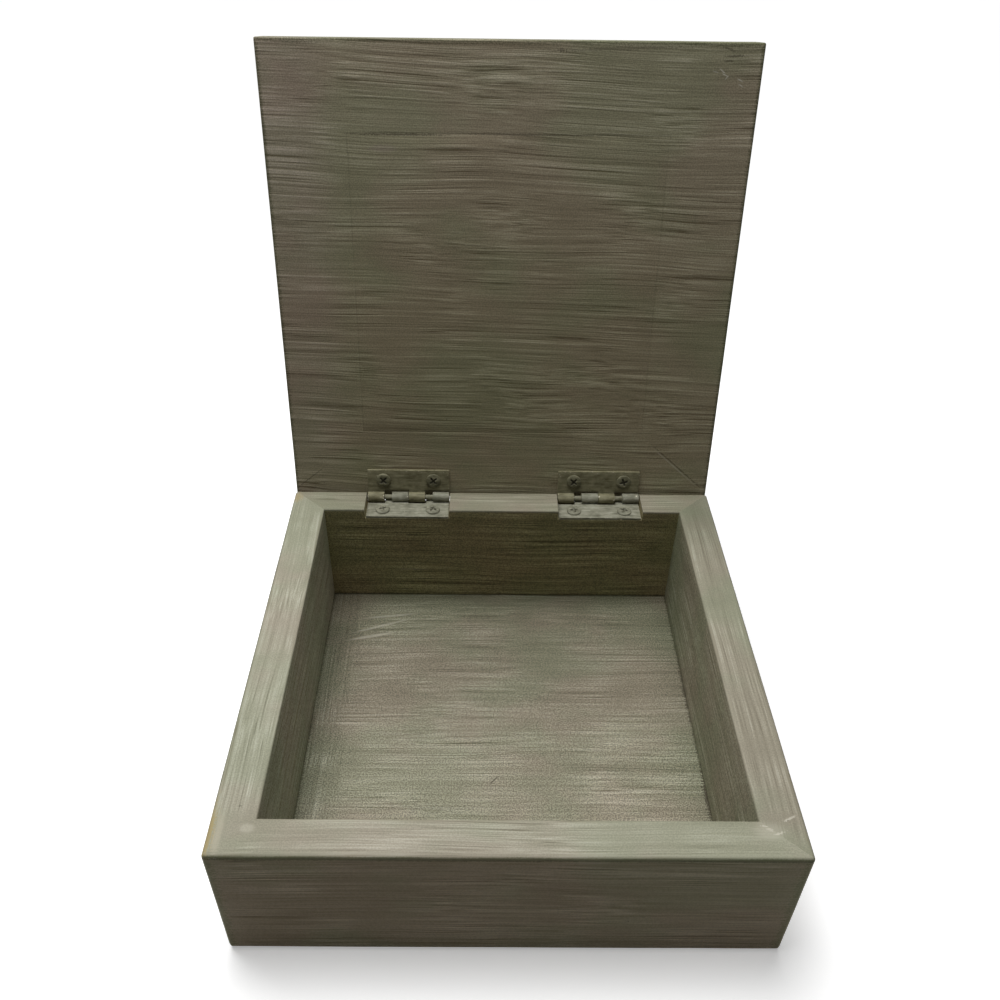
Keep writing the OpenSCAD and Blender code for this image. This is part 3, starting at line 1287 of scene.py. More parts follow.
class ScrewSetting(GeometryRecipe):
    """Sets a cross-headed screw on each point, turned by the point's own angle."""

    HEAD_ROWS = 45
    DOME_POWER = 2.2
    POINT_SHARE = 0.3
    RECESS_SLOPE = 0.55
    RECESS_WALL = 0.5

    def __init__(self) -> None:
        """Builds the tree."""
        super().__init__("screw setting", {
            "Head Radius": "NodeSocketFloat",
            "Head Height": "NodeSocketFloat",
            "Rim Height": "NodeSocketFloat",
            "Recess Width": "NodeSocketFloat",
            "Recess Reach": "NodeSocketFloat",
            "Recess Depth": "NodeSocketFloat",
            "Shank Radius": "NodeSocketFloat",
            "Shank Length": "NodeSocketFloat",
            "Tilt": "NodeSocketFloat",
        })
        nodes, inputs = self.nodes, self.inputs
        screw = nodes.add("GeometryNodeJoinGeometry")
        self.tree.links.new(self.shank(), screw.inputs[0])
        self.tree.links.new(self.head(), screw.inputs[0])
        tilt = nodes.add("ShaderNodeCombineXYZ", {"X": inputs["Tilt"]}).outputs[0]
        turn = nodes.add("GeometryNodeInputNamedAttribute", {"Name": "turn"}, data_type="FLOAT")
        own_turn = nodes.add("ShaderNodeCombineXYZ", {"Z": turn.outputs[0]}).outputs[0]
        rotation = nodes.add(
            "FunctionNodeRotateRotation",
            {
                "Rotation": nodes.add("FunctionNodeEulerToRotation", {0: tilt}).outputs[0],
                "Rotate By": nodes.add("FunctionNodeEulerToRotation", {0: own_turn}).outputs[0],
            },
            rotation_space="LOCAL",
        )
        set_screws = nodes.add("GeometryNodeInstanceOnPoints", {
            "Points": inputs["Geometry"],
            "Instance": screw.outputs[0],
            "Rotation": rotation.outputs[0],
        })
        self.end(set_screws.outputs[0])

    def disc(self) -> tuple[Socket, Socket, Socket]:
        """Draws a square net out into a disc.

        Returns:
            The net, its vertices' places on the disc, and their distance from the centre as
            a share of the head's radius.
        """
        nodes, rows = self.nodes, self.HEAD_ROWS
        net = nodes.add("GeometryNodeMeshGrid",
                        {"Size X": 2.0, "Size Y": 2.0, "Vertices X": rows, "Vertices Y": rows})
        spot = nodes.add("GeometryNodeInputPosition").outputs[0]
        parts = nodes.parts(nodes.vector("ABSOLUTE", spot))
        share = nodes.math("MAXIMUM", parts["X"], parts["Y"])
        reach = nodes.times(share, self.inputs["Head Radius"])
        return net.outputs["Mesh"], nodes.scaled(nodes.vector("NORMALIZE", spot), reach), share

    def head(self) -> Socket:
        """Makes the closed head, a low dome with a cross-shaped recess."""
        nodes, inputs = self.nodes, self.inputs
        net, place, share = self.disc()
        fall = nodes.math("POWER", share, self.DOME_POWER)
        dome = nodes.math("SQRT", nodes.math("SUBTRACT", 1.0, fall, clamp=True))
        rise = nodes.math("SUBTRACT", inputs["Head Height"], inputs["Rim Height"])
        height = nodes.math("ADD", nodes.times(dome, rise), inputs["Rim Height"])
        depth = nodes.times(self.recess(place), inputs["Recess Depth"])
        height = nodes.math("SUBTRACT", height, depth)
        lifted = nodes.add("ShaderNodeCombineXYZ", {"Z": height}).outputs[0]
        top_place = nodes.vector("ADD", place, lifted)
        top = nodes.add("GeometryNodeSetPosition", {"Geometry": net, "Position": top_place})
        under = nodes.add("GeometryNodeSetPosition", {"Geometry": net, "Position": place})
        under = nodes.add("GeometryNodeFlipFaces", {"Mesh": under.outputs[0]}).outputs[0]
        faces_met = nodes.add("GeometryNodeInputMeshEdgeNeighbors").outputs[0]
        rim = nodes.math("LESS_THAN", faces_met, 1.5)
        down = nodes.add("ShaderNodeCombineXYZ", {"Z": nodes.times(inputs["Rim Height"], -1.0)})
        walled = nodes.add(
            "GeometryNodeExtrudeMesh",
            {"Mesh": top.outputs[0], "Selection": rim, "Offset": down.outputs[0],
             "Offset Scale": 1.0},
            mode="EDGES",
        )
        whole = nodes.add("GeometryNodeJoinGeometry")
        self.tree.links.new(under, whole.inputs[0])
        self.tree.links.new(walled.outputs[0], whole.inputs[0])
        merged = nodes.add("GeometryNodeMergeByDistance",
                           {"Geometry": whole.outputs[0], "Distance": MM * 0.01})
        # Keeps how far each point lies in the cross, which the coat reads to paint shade into the
        # recess.
        spot = nodes.add("GeometryNodeInputPosition").outputs[0]
        recess_shaded = nodes.add(
            "GeometryNodeStoreNamedAttribute",
            {"Geometry": merged.outputs[0], "Name": "recess_shade", "Value": self.recess(spot)},
            data_type="FLOAT", domain="POINT",
        )
        return recess_shaded.outputs[0]

    def recess(self, place: Socket) -> Socket:
        """Says where the cross is sunk into the head.

        Args:
            place: the vertices' places on the disc.

        Returns:
            1 in the cross and 0 outside it, with sloping sides.
        """
        nodes, inputs = self.nodes, self.inputs
        parts = nodes.parts(nodes.vector("ABSOLUTE", place))
        arms = []
        for along, across in (("X", "Y"), ("Y", "X")):
            sides = []
            for size, axis, share in (("Recess Reach", along, self.RECESS_SLOPE),
                                      ("Recess Width", across, self.RECESS_WALL)):
                inward = nodes.math("SUBTRACT", inputs[size], parts[axis])
                ramp = nodes.times(inputs[size], share)
                sides.append(nodes.math("DIVIDE", inward, ramp, clamp=True))
            arms.append(nodes.times(*sides))
        return nodes.math("MAXIMUM", *arms)

    def shank(self) -> Socket:
        """Makes the shank, which narrows to its point."""
        nodes, inputs = self.nodes, self.inputs
        shank = nodes.add("GeometryNodeMeshCone", {
            "Vertices": 16,
            "Side Segments": 4,
            "Radius Top": nodes.times(inputs["Shank Radius"], self.POINT_SHARE),
            "Radius Bottom": inputs["Shank Radius"],
            "Depth": inputs["Shank Length"],
        })
        turned = nodes.add("GeometryNodeTransform",
                           {"Geometry": shank.outputs["Mesh"], "Rotation": (math.pi, 0.0, 0.0)})
        return turned.outputs[0]


# ---- Sub-assemblies ----


@dataclass
class BoxBody:
    """The open box: four mitred walls round a floor board, with a mortise for each hinge."""

    finish: HandFinish
    foot_r: float = 2.0
    edge_r: float = 1.0
    inner_edge_r: float = 0.5
    floor_edge_r: float = 0.45
    board_edge_r: float = 0.3
    board_gap: float = 0.05
    mortise_gap: float = 0.35
    mortise_softness: float = 0.3
    mortise_sharp: float = 50.0
    unevenness: float = 0.22
    wavelength: float = 26.0
    flat_step: float = 4.0
    support: float = 0.6
    sanding_seed: float = 4.0
    floor_shade_w: float = 15.0
    floor_shade: Colour = (0.8, 0.83, 0.8)
    floor_line_w: float = 0.8
    floor_line: Colour = (0.45, 0.45, 0.36)
    nodes: dict[Quarter, str] = field(default_factory=lambda: {
        Quarter.FRONT: "front_wall",
        Quarter.LEFT: "left_wall",
        Quarter.BACK: "back_wall",
        Quarter.RIGHT: "right_wall",
    })

    def __post_init__(self) -> None:
        """Takes the box's sizes from the frame."""
        self.low, self.high = box_mm(*self.nodes.values())
        front_low, front_high = box_mm("front_wall")
        left_low, left_high = box_mm("left_wall")
        self.end_t = front_high.y - front_low.y
        self.side_t = left_high.x - left_low.x
        self.floor_low, self.floor_high = box_mm("floor_board")

    def profile(self, quarter: Quarter, notch_floor: float) -> list[ProfilePoint]:
        """Draws a wall's cross-section.

        Args:
            quarter: the wall's side.
            notch_floor: the height of the mortises' floor, where no other point may stand above.

        Returns:
            The cross-section's points, from the foot up the outside and down the inside.
        """
        if quarter in (Quarter.FRONT, Quarter.BACK):
            t, reach, board = self.end_t, self.high.y, self.floor_high.y
        else:
            t, reach, board = self.side_t, self.high.x, self.floor_high.x
        h, ledge, shoulder = self.high.z, self.floor_high.z, reach - board - self.board_gap
        r, inner_r, floor_r = self.edge_r, self.inner_edge_r, self.floor_edge_r
        foot = bend((self.foot_r, self.foot_r), self.foot_r, 270, 180, 5, 0.7)
        rim = bend((r, h - r), r, 180, 90, 6, 1.0)
        inner = bend((t - inner_r, h - inner_r), inner_r, 90, 0, 4, 0.6)
        arris = bend((t - floor_r, ledge + floor_r), floor_r, 0, -90, 3)
        outer_stop = ProfilePoint(0.0, notch_floor)
        inner_stop = ProfilePoint(t, notch_floor)
        shelf = [ProfilePoint(shoulder, ledge), ProfilePoint(shoulder, 0.0)]
        return [
            *foot, *run(foot[-1], outer_stop, self.flat_step, self.support), outer_stop,
            *rim, *run(rim[-1], inner[0], self.flat_step / 2, self.support),
            *inner, inner_stop, *run(inner_stop, arris[0], self.flat_step, self.support),
            *arris, *shelf,
        ]

    def build(self) -> list[bpy.types.Object]:
        """Builds and dresses the walls and the floor.

        Returns:
            The box's pieces.
        """
        leaves = [box_mm(f"{side.value}_hinge_body_leaf") for side in Side]
        notch_floor = leaves[0][0].z
        mortises = tuple(
            (-high.x - self.mortise_gap, -low.x + self.mortise_gap) for low, high in leaves
        )
        pieces = []
        for quarter, node in self.nodes.items():
            is_back = quarter is Quarter.BACK
            stick = Stick(
                quarter, self.high.x - self.low.x, self.high.y - self.low.y,
                self.end_t, self.side_t, self.edge_r, self.low.z,
                self.profile(quarter, notch_floor), self.flat_step,
                notches=mortises if is_back else (), notch_floor=notch_floor,
            )
            shape = stick.build()
            if is_back:
                self.soften_mortises(shape, mortises, notch_floor)
            strokes = Strokes.ALONG_X if quarter.value % 2 == 0 else Strokes.ALONG_Y
            faces = WallFaces((self.high.x, self.high.y), self.high.z - self.edge_r / 2,
                              inner=INNER_TINTS[quarter])
            paint = replace(BODY_PAINTS[quarter], strokes=strokes, faces=faces)
            pieces.append(self.finish_piece(node, shape, paint, "body_paint"))
        board = SoftBoard(self.floor_low, self.floor_high, self.board_edge_r)
        seen = (self.high.x - self.side_t, self.high.y - self.end_t)
        borders = (Border(seen, self.floor_shade_w, self.floor_shade),
                   Border(seen, self.floor_line_w, self.floor_line))
        paint = replace(FLOOR_PAINT, borders=borders)
        pieces.append(self.finish_piece("floor_board", board.build(), paint, "floor_paint"))
        return pieces

    def soften_mortises(self, shape: bmesh.types.BMesh, mortises: tuple[tuple[float, float], ...],
                        notch_floor: float) -> None:
        """Rounds the arrises of the mortises.

        Args:
            shape: the back wall's mesh, which is changed.
            mortises: the mortises' ends along the wall, as drawn before it is turned.
            notch_floor: the height of the mortises' floor.
        """
        cuts = [-x for pair in mortises for x in pair]
        edges = [
            edge for edge in shape.edges
            if edge.calc_face_angle(0.0) > math.radians(self.mortise_sharp)
            and all(v.co.z > notch_floor - TOUCHING for v in edge.verts)
            and any(all(abs(v.co.x - cut) < TOUCHING for v in edge.verts) for cut in cuts)
        ]
        bmesh.ops.bevel(shape, geom=edges, offset=self.mortise_softness, segments=3, profile=0.5,
                        affect="EDGES", clamp_overlap=True)

    def finish_piece(self, node: str, shape: bmesh.types.BMesh, paint: BrushedPaint,
                     slot: str) -> bpy.types.Object:
        """Sands, paints and fits one piece.

        Args:
            node: the CAD node that it stands for.
            shape: its mesh.
            paint: its finish.
            slot: not used.

        Returns:
            The finished piece.
        """
        made = make_object(f"{node}_painted", shape)
        self.finish.apply(made, {
            "Material": paint.build(),
            "Unevenness": self.unevenness * MM,
            "Wavelength": self.wavelength * MM,
            "Lowest": self.low * MM,
            "Highest": self.high * MM,
            "Seed": self.sanding_seed,
        })
        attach(made, "body")
        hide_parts(node)
        return made


@dataclass
class Lid:
    """The lid: four mitred rails round a panel, made shut and then swung open."""

    finish: HandFinish
    edge_r: float = 0.5
    lip_edge_r: float = 0.4
    seam_r: float = 0.06
    seam_gap: float = 0.02
    unevenness: float = 0.22
    wavelength: float = 30.0
    flat_step: float = 4.0
    support: float = 0.6
    sanding_seed: float = 9.0
    panel_growth: float = 0.12
    side_facing: float = 0.8
    edge_shade_w: float = 1.5
    edge_shade: Colour = (0.3, 0.33, 0.24)
    nodes: dict[Quarter, str] = field(default_factory=lambda: {
        Quarter.FRONT: "lid_front_rail",
        Quarter.LEFT: "lid_left_rail",
        Quarter.BACK: "lid_back_rail",
        Quarter.RIGHT: "lid_right_rail",
    })

    def __post_init__(self) -> None:
        """Takes the lid's sizes from the frame, as it lies when it is shut."""
        self.low, self.high = closed_box_mm(*self.nodes.values())
        self.panel_low, self.panel_high = closed_box_mm("lid_panel")
        front_low, front_high = closed_box_mm("lid_front_rail")
        self.rail_t = front_high.y - front_low.y

    def profile(self, reach: float, panel: float) -> list[ProfilePoint]:
        """Draws a rail's cross-section, from the inside face's outer edge round to its seam.

        Args:
            reach: half the lid's size across the rail.
            panel: half the panel's size across the rail.

        Returns:
            The cross-section's points.
        """
        h, shelf, lip = self.high.z - self.low.z, self.panel_high.z - self.low.z, self.rail_t
        seam = reach - panel - self.seam_gap
        r, lip_r, seam_r = self.edge_r, self.lip_edge_r, self.seam_r
        inside = bend((r, r), r, 270, 180, 6, 1.0)
        outside = bend((r, h - r), r, 180, 90, 6, 1.0)
        lip_edge = bend((lip - lip_r, h - lip_r), lip_r, 90, 0, 4, 0.5)
        seam_edge = bend((seam - seam_r, seam_r), seam_r, 0, -90, 2)
        return [
            *inside, *run(inside[-1], outside[0], self.flat_step / 2, self.support),
            *outside, *run(outside[-1], lip_edge[0], self.flat_step, self.support),
            *lip_edge, ProfilePoint(lip, shelf), ProfilePoint(seam, shelf),
            *seam_edge, *run(seam_edge[-1], inside[0], self.flat_step, self.support),
        ]

    def build(self) -> list[bpy.types.Object]:
        """Builds and dresses the rails and the panel.

        Returns:
            The lid's pieces.
        """
        pieces = []
        for quarter, node in self.nodes.items():
            across = quarter in (Quarter.FRONT, Quarter.BACK)
            centre = (self.low.y + self.high.y) / 2
            reach = (self.high.y - self.low.y) / 2 if across else self.high.x
            panel = (self.panel_high.y - self.panel_low.y) / 2 if across else self.panel_high.x
            stick = Stick(
                quarter, self.high.x - self.low.x, self.high.y - self.low.y,
                self.rail_t, self.rail_t, self.edge_r, self.low.z,
                self.profile(reach, panel), self.flat_step,
            )
            shape = stick.build()
            shape.transform(Matrix.Translation((0.0, centre, 0.0)))
            pieces.append(self.finish_piece(node, shape, edged=not across))
        growth = Vector((self.panel_growth, self.panel_growth, 0.0))
        board = SoftBoard(self.panel_low - growth, self.panel_high + growth, self.seam_r)
        pieces.append(self.finish_piece("lid_panel", board.build(), edged=False))
        return pieces

    def finish_piece(self, node: str, shape: bmesh.types.BMesh, edged: bool) -> bpy.types.Object:
        """Sands, paints, swings open and fits one piece.

        Args:
            node: the CAD node that it stands for.
            shape: its mesh, with the lid shut.
            edged: whether its outer edge is brushed lengthwise, across the lid's own strokes.

        Returns:
            The finished piece.
        """
        made = make_object(f"{node}_painted", shape)
        middle = (self.panel_low + self.panel_high) / 2
        half = (self.panel_high - self.panel_low) / 2
        seam = PanelSeam((middle.x, middle.y), (half.x, half.y))
        size = (self.high.x, (self.high.y - self.low.y) / 2)
        border = Border(size, self.edge_shade_w, self.edge_shade,
                        (0.0, (self.high.y + self.low.y) / 2))
        self.finish.apply(made, {
            "Material": replace(LID_PAINT, seam=seam, borders=(border,)).build(),
            "Unevenness": self.unevenness * MM,
            "Wavelength": self.wavelength * MM,
            "Lowest": self.low * MM,
            "Highest": self.high * MM,
            "Seed": self.sanding_seed,
        })
        if edged:
            edge_paint = replace(LID_PAINT, strokes=Strokes.ALONG_Y, marks=())
            made.data.materials.append(edge_paint.build())
            for face in made.data.polygons:
                face.material_index = int(abs(face.normal.x) > self.side_facing)
        swing_open(made)
        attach(made, "lid")
        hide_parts(node)
        return made


@dataclass
class ButtHinge:
    """One hinge: two leaves of sheet steel rolled round a pin."""

    side: Side
    sheet_t: float = 0.9
    knuckle_l: float = 5.5
    knuckle_gap: float = 0.1
    curl_sweep: float = 292.0
    curl_steps: int = 20
    curl_lead: float = 0.3
    tab_reach: float = 0.7
    tab_gaps: tuple[float, float] = (0.3, 0.05)
    flat_step: float = 1.5
    tab_step: float = 1.4
    column_step: float = 2.0
    edge_softness: float = 0.14
    pin_softness: float = 0.22
    pin_cuts: int = 24
    seat_bend: tuple[tuple[float, float], ...] = ((-1.4, 0.93), (-0.7, 0.45))

    def __post_init__(self) -> None:
        """Takes the hinge's sizes from the frame."""
        self.body_low, self.body_high = box_mm(self.node("body_leaf"))
        self.lid_low, self.lid_high = closed_box_mm(self.node("lid_leaf"))
        self.pin_low, self.pin_high = box_mm(self.node("pin"))
        self.centre_x = (self.pin_low.x + self.pin_high.x) / 2
        self.pin_r = (self.pin_high.z - self.pin_low.z) / 2
        self.curl_r = self.body_high.y - PIN_AXIS.y
        self.leaf_lift = PIN_AXIS.z - self.body_low.z

    def node(self, part: str) -> str:
        """Names one of the hinge's CAD nodes."""
        return f"{self.side.value}_hinge_{part}"

    def ribbon(self, free_edge: float) -> tuple[list[tuple[Vector, Vector]], int]:
        """Draws the leaf's side view: flat from its free edge, then rolled round the pin.

        Args:
            free_edge: how far the leaf's free edge is from the pin's axis.

        Returns:
            The inner and outer points at each place along the sheet, measured from the pin's
            axis with the leaf below it, and the number of places in the flat part.
        """
        half = self.sheet_t / 2
        flat_z = -self.leaf_lift + half
        roll = self.curl_r - half
        start = self.curl_r + self.curl_lead
        flat = [-free_edge, *steps_between(-free_edge, -start, self.flat_step), -start]
        middle = [Vector((y, flat_z)) for y in flat]
        drop = flat_z + roll
        middle += [Vector((y, -roll + drop * share)) for y, share in self.seat_bend]
        for i in range(self.curl_steps + 1):
            angle = math.radians(-90 + self.curl_sweep * i / self.curl_steps)
            middle.append(Vector((roll * math.cos(angle), roll * math.sin(angle))))
        sides = []
        for i, point in enumerate(middle):
            ahead = middle[min(i + 1, len(middle) - 1)] - middle[max(i - 1, 0)]
            up = Vector((-ahead.y, ahead.x)).normalized() * half
            sides.append((point + up, point - up))
        return sides, len(flat)

    def tab(self) -> list[tuple[Vector, Vector]]:
        """Draws a tab, where the leaf runs on flat under the pin.

        Returns:
            The upper and lower points at each place past the leaf's flat part.
        """
        start = -self.curl_r - self.curl_lead
        places = steps_between(start, self.tab_reach, self.tab_step) + [self.tab_reach]
        low = -self.leaf_lift
        return [(Vector((y, low + self.sheet_t)), Vector((y, low))) for y in places]

    def leaf(self, free_edge: float, knuckles: list[tuple[float, float]], reach: float,
             tabs: tuple[tuple[float, float], ...] = ()) -> bmesh.types.BMesh:
        """Makes one leaf with its rolled knuckles, below the pin's axis.

        Args:
            free_edge: how far the leaf's free edge is from the pin's axis.
            knuckles: where each knuckle starts and ends along the pin, from the hinge's centre.
            reach: half the leaf's length.
            tabs: where each tab starts and ends along the pin.

        Returns:
            The leaf's closed mesh, in millimetres round the pin's axis.
        """
        shape = bmesh.new()
        wear = shape.verts.layers.float.new("wear")
        sides, flat_count = self.ribbon(free_edge)
        tab = self.tab()
        stops = sorted({-reach, reach, *[x for pair in (*knuckles, *tabs) for x in pair]})
        columns = []
        for a, b in zip(stops, stops[1:]):
            columns += [a, *steps_between(a, b, self.column_step)]
        columns.append(reach)
        found: dict[tuple[int, int, int], bmesh.types.BMVert] = {}

        def has(i: int, j: int) -> bool:
            """Says whether the sheet covers one cell."""
            if not (0 <= i < len(columns) - 1 and 0 <= j < len(sides) - 1):
                return False
            middle = (columns[i] + columns[i + 1]) / 2
            if any(a < middle < b for a, b in tabs):
                return j < flat_count - 1 + len(tab)
            return j < flat_count - 1 or any(a < middle < b for a, b in knuckles)

        def corner(i: int, j: int, face: int) -> bmesh.types.BMVert:
            """Gives one corner of a cell, made when it is first asked for."""
            if (i, j, face) not in found:
                on_tab = j >= flat_count and any(a <= columns[i] <= b for a, b in tabs)
                spot = (tab[j - flat_count] if on_tab else sides[j])[face]
                found[i, j, face] = shape.verts.new((columns[i], spot.x, spot.y))
                at_edge = not all(has(i + di, j + dj) for di in (0, -1) for dj in (0, -1))
                found[i, j, face][wear] = float(at_edge)
            return found[i, j, face]

        for i in range(len(columns) - 1):
            for j in range(len(sides) - 1):
                if not has(i, j):
                    continue
                a, b = i + 1, j + 1
                for face in (0, 1):
                    shape.faces.new([corner(*c, face) for c in ((i, j), (a, j), (a, b), (i, b))])
                rims = {(-1, 0): ((i, j), (i, b)), (1, 0): ((a, j), (a, b)),
                        (0, -1): ((i, j), (a, j)), (0, 1): ((i, b), (a, b))}
                for (di, dj), (first, second) in rims.items():
                    if not has(i + di, j + dj):
                        shape.faces.new((corner(*first, 0), corner(*second, 0),
                                         corner(*second, 1), corner(*first, 1)))
        bmesh.ops.recalc_face_normals(shape, faces=shape.faces)
        soften_sharp_edges(shape, self.edge_softness)
        return shape

    def pin(self) -> bmesh.types.BMesh:
        """Makes the pin, a rod with rounded ends.

        Returns:
            The pin's closed mesh, in millimetres round its own axis.
        """
        shape = bmesh.new()
        reach = (self.pin_high.x - self.pin_low.x) / 2
        bmesh.ops.create_cone(shape, cap_ends=True, segments=32, radius1=self.pin_r,
                              radius2=self.pin_r, depth=2 * reach)
        shape.transform(Matrix.Rotation(math.pi / 2, 4, "Y"))
        long = [e for e in shape.edges if abs(e.verts[0].co.x - e.verts[1].co.x) > reach]
        bmesh.ops.subdivide_edges(shape, edges=long, cuts=self.pin_cuts)
        soften_sharp_edges(shape, self.pin_softness)
        wear = shape.verts.layers.float.new("wear")
        for vertex in shape.verts:
            vertex[wear] = 1.0
        return shape

    def build(self) -> list[bpy.types.Object]:
        """Builds and dresses the two leaves and the pin.

        Returns:
            The hinge's pieces.
        """
        knuckle, gap = self.knuckle_l, self.knuckle_gap
        reach = (self.body_high.x - self.body_low.x) / 2
        body_knuckles = [(-knuckle - gap, -gap), (reach - knuckle, reach)]
        lid_knuckles = [(-reach, -reach + knuckle), (gap, knuckle + gap)]
        axis = Vector((self.centre_x, PIN_AXIS.y, PIN_AXIS.z))
        at_pin = Matrix.Translation(axis)
        tabs = tuple((lid_end + self.tab_gaps[0], start - self.tab_gaps[1])
                     for (_, lid_end), (start, _) in zip(lid_knuckles, body_knuckles))
        lower = self.leaf(PIN_AXIS.y - self.body_low.y, body_knuckles, reach, tabs)
        upper = self.leaf(PIN_AXIS.y - self.lid_low.y, lid_knuckles, reach)
        upper.transform(Matrix.Scale(-1.0, 4, Vector((0.0, 0.0, 1.0))))
        bmesh.ops.recalc_face_normals(upper, faces=upper.faces)
        pieces = []
        for part, body, label, shape, place in (
            ("body_leaf", "body", "body_leaf_painted", lower, at_pin),
            ("lid_leaf", "lid", "lid_leaf_painted", upper, OPENING @ at_pin),
            ("pin", "body", "pin_worn", self.pin(), at_pin),
        ):
            made = make_object(self.node(label), shape, place)
            is_pin = part == "pin"
            coat = PIN_COAT if is_pin else METAL_COATS[body]
            finish = replace(coat, name=f"{self.side.value} hinge {part} paint",
                             seed=HINGE_SEEDS[self.side] + len(part))
            made.data.materials.append(finish.build())
            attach(made, body)
            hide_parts(self.node(part))
            pieces.append(made)
        return pieces


@dataclass
class ScrewRow:
    """The four screws that hold one leaf of each hinge to the box or to the lid."""

    setting: ScrewSetting
    body: str
    turns: tuple[float, float, float, float]
    recess_w: float = 0.42
    recess_reach: float = 1.6
    recess_depth: float = 0.6
    rim_share: float = 0.4
    shank_l: float = 8.5
    shank_share: float = 0.45

    def build(self) -> bpy.types.Object:
        """Builds and dresses the screws.

        Returns:
            The piece that stands for the four screws.
        """
        nodes = [
            f"{side.value}_hinge_{self.body}_screw_{end}"
            for side in Side for end in ("outer", "inner")
        ]
        nodes.sort(key=lambda node: box_mm(node)[0].x)
        measure = closed_box_mm if self.body == "lid" else box_mm
        boxes = [measure(node) for node in nodes]
        low, high = boxes[0]
        radius = (high.x - low.x) / 2
        head_h = high.z - low.z - self.shank_l
        shape = bmesh.new()
        turn = shape.verts.layers.float.new("turn")
        for (low, high), angle in zip(boxes, self.turns):
            seat = low.z + head_h if self.body == "lid" else high.z - head_h
            vertex = shape.verts.new(((low.x + high.x) / 2, (low.y + high.y) / 2, seat))
            vertex[turn] = math.radians(angle)
        made = make_object(f"{self.body}_screws", shape)
        self.setting.apply(made, {
            "Material": SCREW_COATS[self.body].build(),
            "Head Radius": radius * MM,
            "Head Height": head_h * MM,
            "Rim Height": head_h * self.rim_share * MM,
            "Recess Width": self.recess_w * MM,
            "Recess Reach": self.recess_reach * MM,
            "Recess Depth": self.recess_depth * MM,
            "Shank Radius": radius * self.shank_share * MM,
            "Shank Length": self.shank_l * MM,
            "Tilt": math.pi if self.body == "lid" else 0.0,
        })
        made.data.shade_smooth()
        made.data.set_sharp_from_angle(angle=math.radians(40))
        if self.body == "lid":
            swing_open(made)
        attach(made, self.body)
        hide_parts(*nodes)
        return made


# ---- Studio ----


def seen_rays(nodes: Nodes) -> Socket:
    """Says whether a ray is one that shows: straight, reflected or through glass."""
    path = nodes.add("ShaderNodeLightPath").outputs
    seen = nodes.math("MAXIMUM", path["Is Camera Ray"], path["Is Glossy Ray"])
    return nodes.math("MAXIMUM", seen, path["Is Transmission Ray"])


def white_over(nodes: Nodes, share: Socket, plain: float) -> Socket:
    """Mixes white with the plain grey that lights the object.

    Args:
        nodes: the tree's nodes.
        share: how much of the white shows.
        plain: the grey.

    Returns:
        The colour's socket.
    """
    return nodes.mix(share, (plain, plain, plain), (1.0, 1.0, 1.0))


@dataclass
class Studio:
    """The pale floor, the soft light and the camera.

    The floor, the lamp and the sky are set in metres and watts, the camera's place in
    millimetres and its turns in degrees.
    """

    floor_reach: float = 3.0
    bounce: float = 0.14
    sky: float = 0.032
    floor_glow: float = 0.35
    white_from: tuple[float, float] = (0.16, 0.42)
    lamp_place: Point = (-0.09, 0.118, 0.64)
    lamp_target: Point = (0.0, 0.0, 0.03)
    lamp_size: float = 0.44
    lamp_power: float = 5.1
    camera_place: Point = (-7.073, -188.069, 233.401)
    pitch: float = 39.367
    yaw: float = -0.567
    roll: float = -0.805
    lens: float = 33.864
    shift: tuple[float, float] = (0.012304, 0.037409)

    def build(self) -> None:
        """Builds the studio."""
        self.floor()
        self.world()
        self.lamp()
        self.camera()

    def floor(self) -> None:
        """Lays the floor."""
        mesh = bpy.data.meshes.new("floor")
        r = self.floor_reach
        mesh.from_pydata([(-r, -r, 0), (r, -r, 0), (r, r, 0), (-r, r, 0)], [], [(0, 1, 2, 3)])
        floor = bpy.data.objects.new("studio_floor", mesh)
        bpy.context.scene.collection.objects.link(floor)
        material, nodes, shader = new_material("pale floor")
        seen = seen_rays(nodes)
        away = nodes.vector("LENGTH", nodes.add("ShaderNodeTexCoord").outputs["Object"])
        near = nodes.times(seen, nodes.spread(away, *self.white_from, 1.0, 0.0))
        nodes.feed(shader.inputs["Base Color"], white_over(nodes, near, self.bounce))
        glow = nodes.spread(away, *self.white_from, self.floor_glow, 1.0)
        nodes.feed(shader.inputs["Emission Strength"], nodes.times(seen, glow))
        shader.inputs["Emission Color"].default_value = (1.0, 1.0, 1.0, 1.0)
        shader.inputs["Roughness"].default_value = 1.0
        shader.inputs["Specular IOR Level"].default_value = 0.0
        mesh.materials.append(material)

    def world(self) -> None:
        """Sets the sky."""
        world = bpy.data.worlds.new("studio")
        world.use_nodes = True
        bpy.context.scene.world = world
        nodes = Nodes(world.node_tree)
        background = world.node_tree.nodes["Background"]
        nodes.feed(background.inputs["Color"], white_over(nodes, seen_rays(nodes), self.sky))

    def lamp(self) -> None:
        """Hangs the soft light."""
        data = bpy.data.lights.new("overhead", "AREA")
        data.size = self.lamp_size
        data.energy = self.lamp_power
        lamp = bpy.data.objects.new("overhead", data)
        lamp.location = self.lamp_place
        aim = Vector(self.lamp_target) - Vector(self.lamp_place)
        lamp.rotation_euler = aim.to_track_quat("-Z", "Y").to_euler()
        bpy.context.scene.collection.objects.link(lamp)

    def camera(self) -> None:
        """Sets the camera where the photograph was taken from."""
        data = bpy.data.cameras.new("camera")
        data.lens = self.lens
        data.shift_x, data.shift_y = self.shift
        camera = bpy.data.objects.new("camera", data)
        turn = (
            Matrix.Rotation(math.radians(self.yaw), 4, "Z")
            @ Matrix.Rotation(math.radians(90 - self.pitch), 4, "X")
            @ Matrix.Rotation(math.radians(-self.roll), 4, "Z")
        )
        camera.matrix_world = Matrix.Translation(Vector(self.camera_place) * MM) @ turn
        bpy.context.scene.collection.objects.link(camera)
        bpy.context.scene.camera = camera


# ---- This box's paints and marks ----


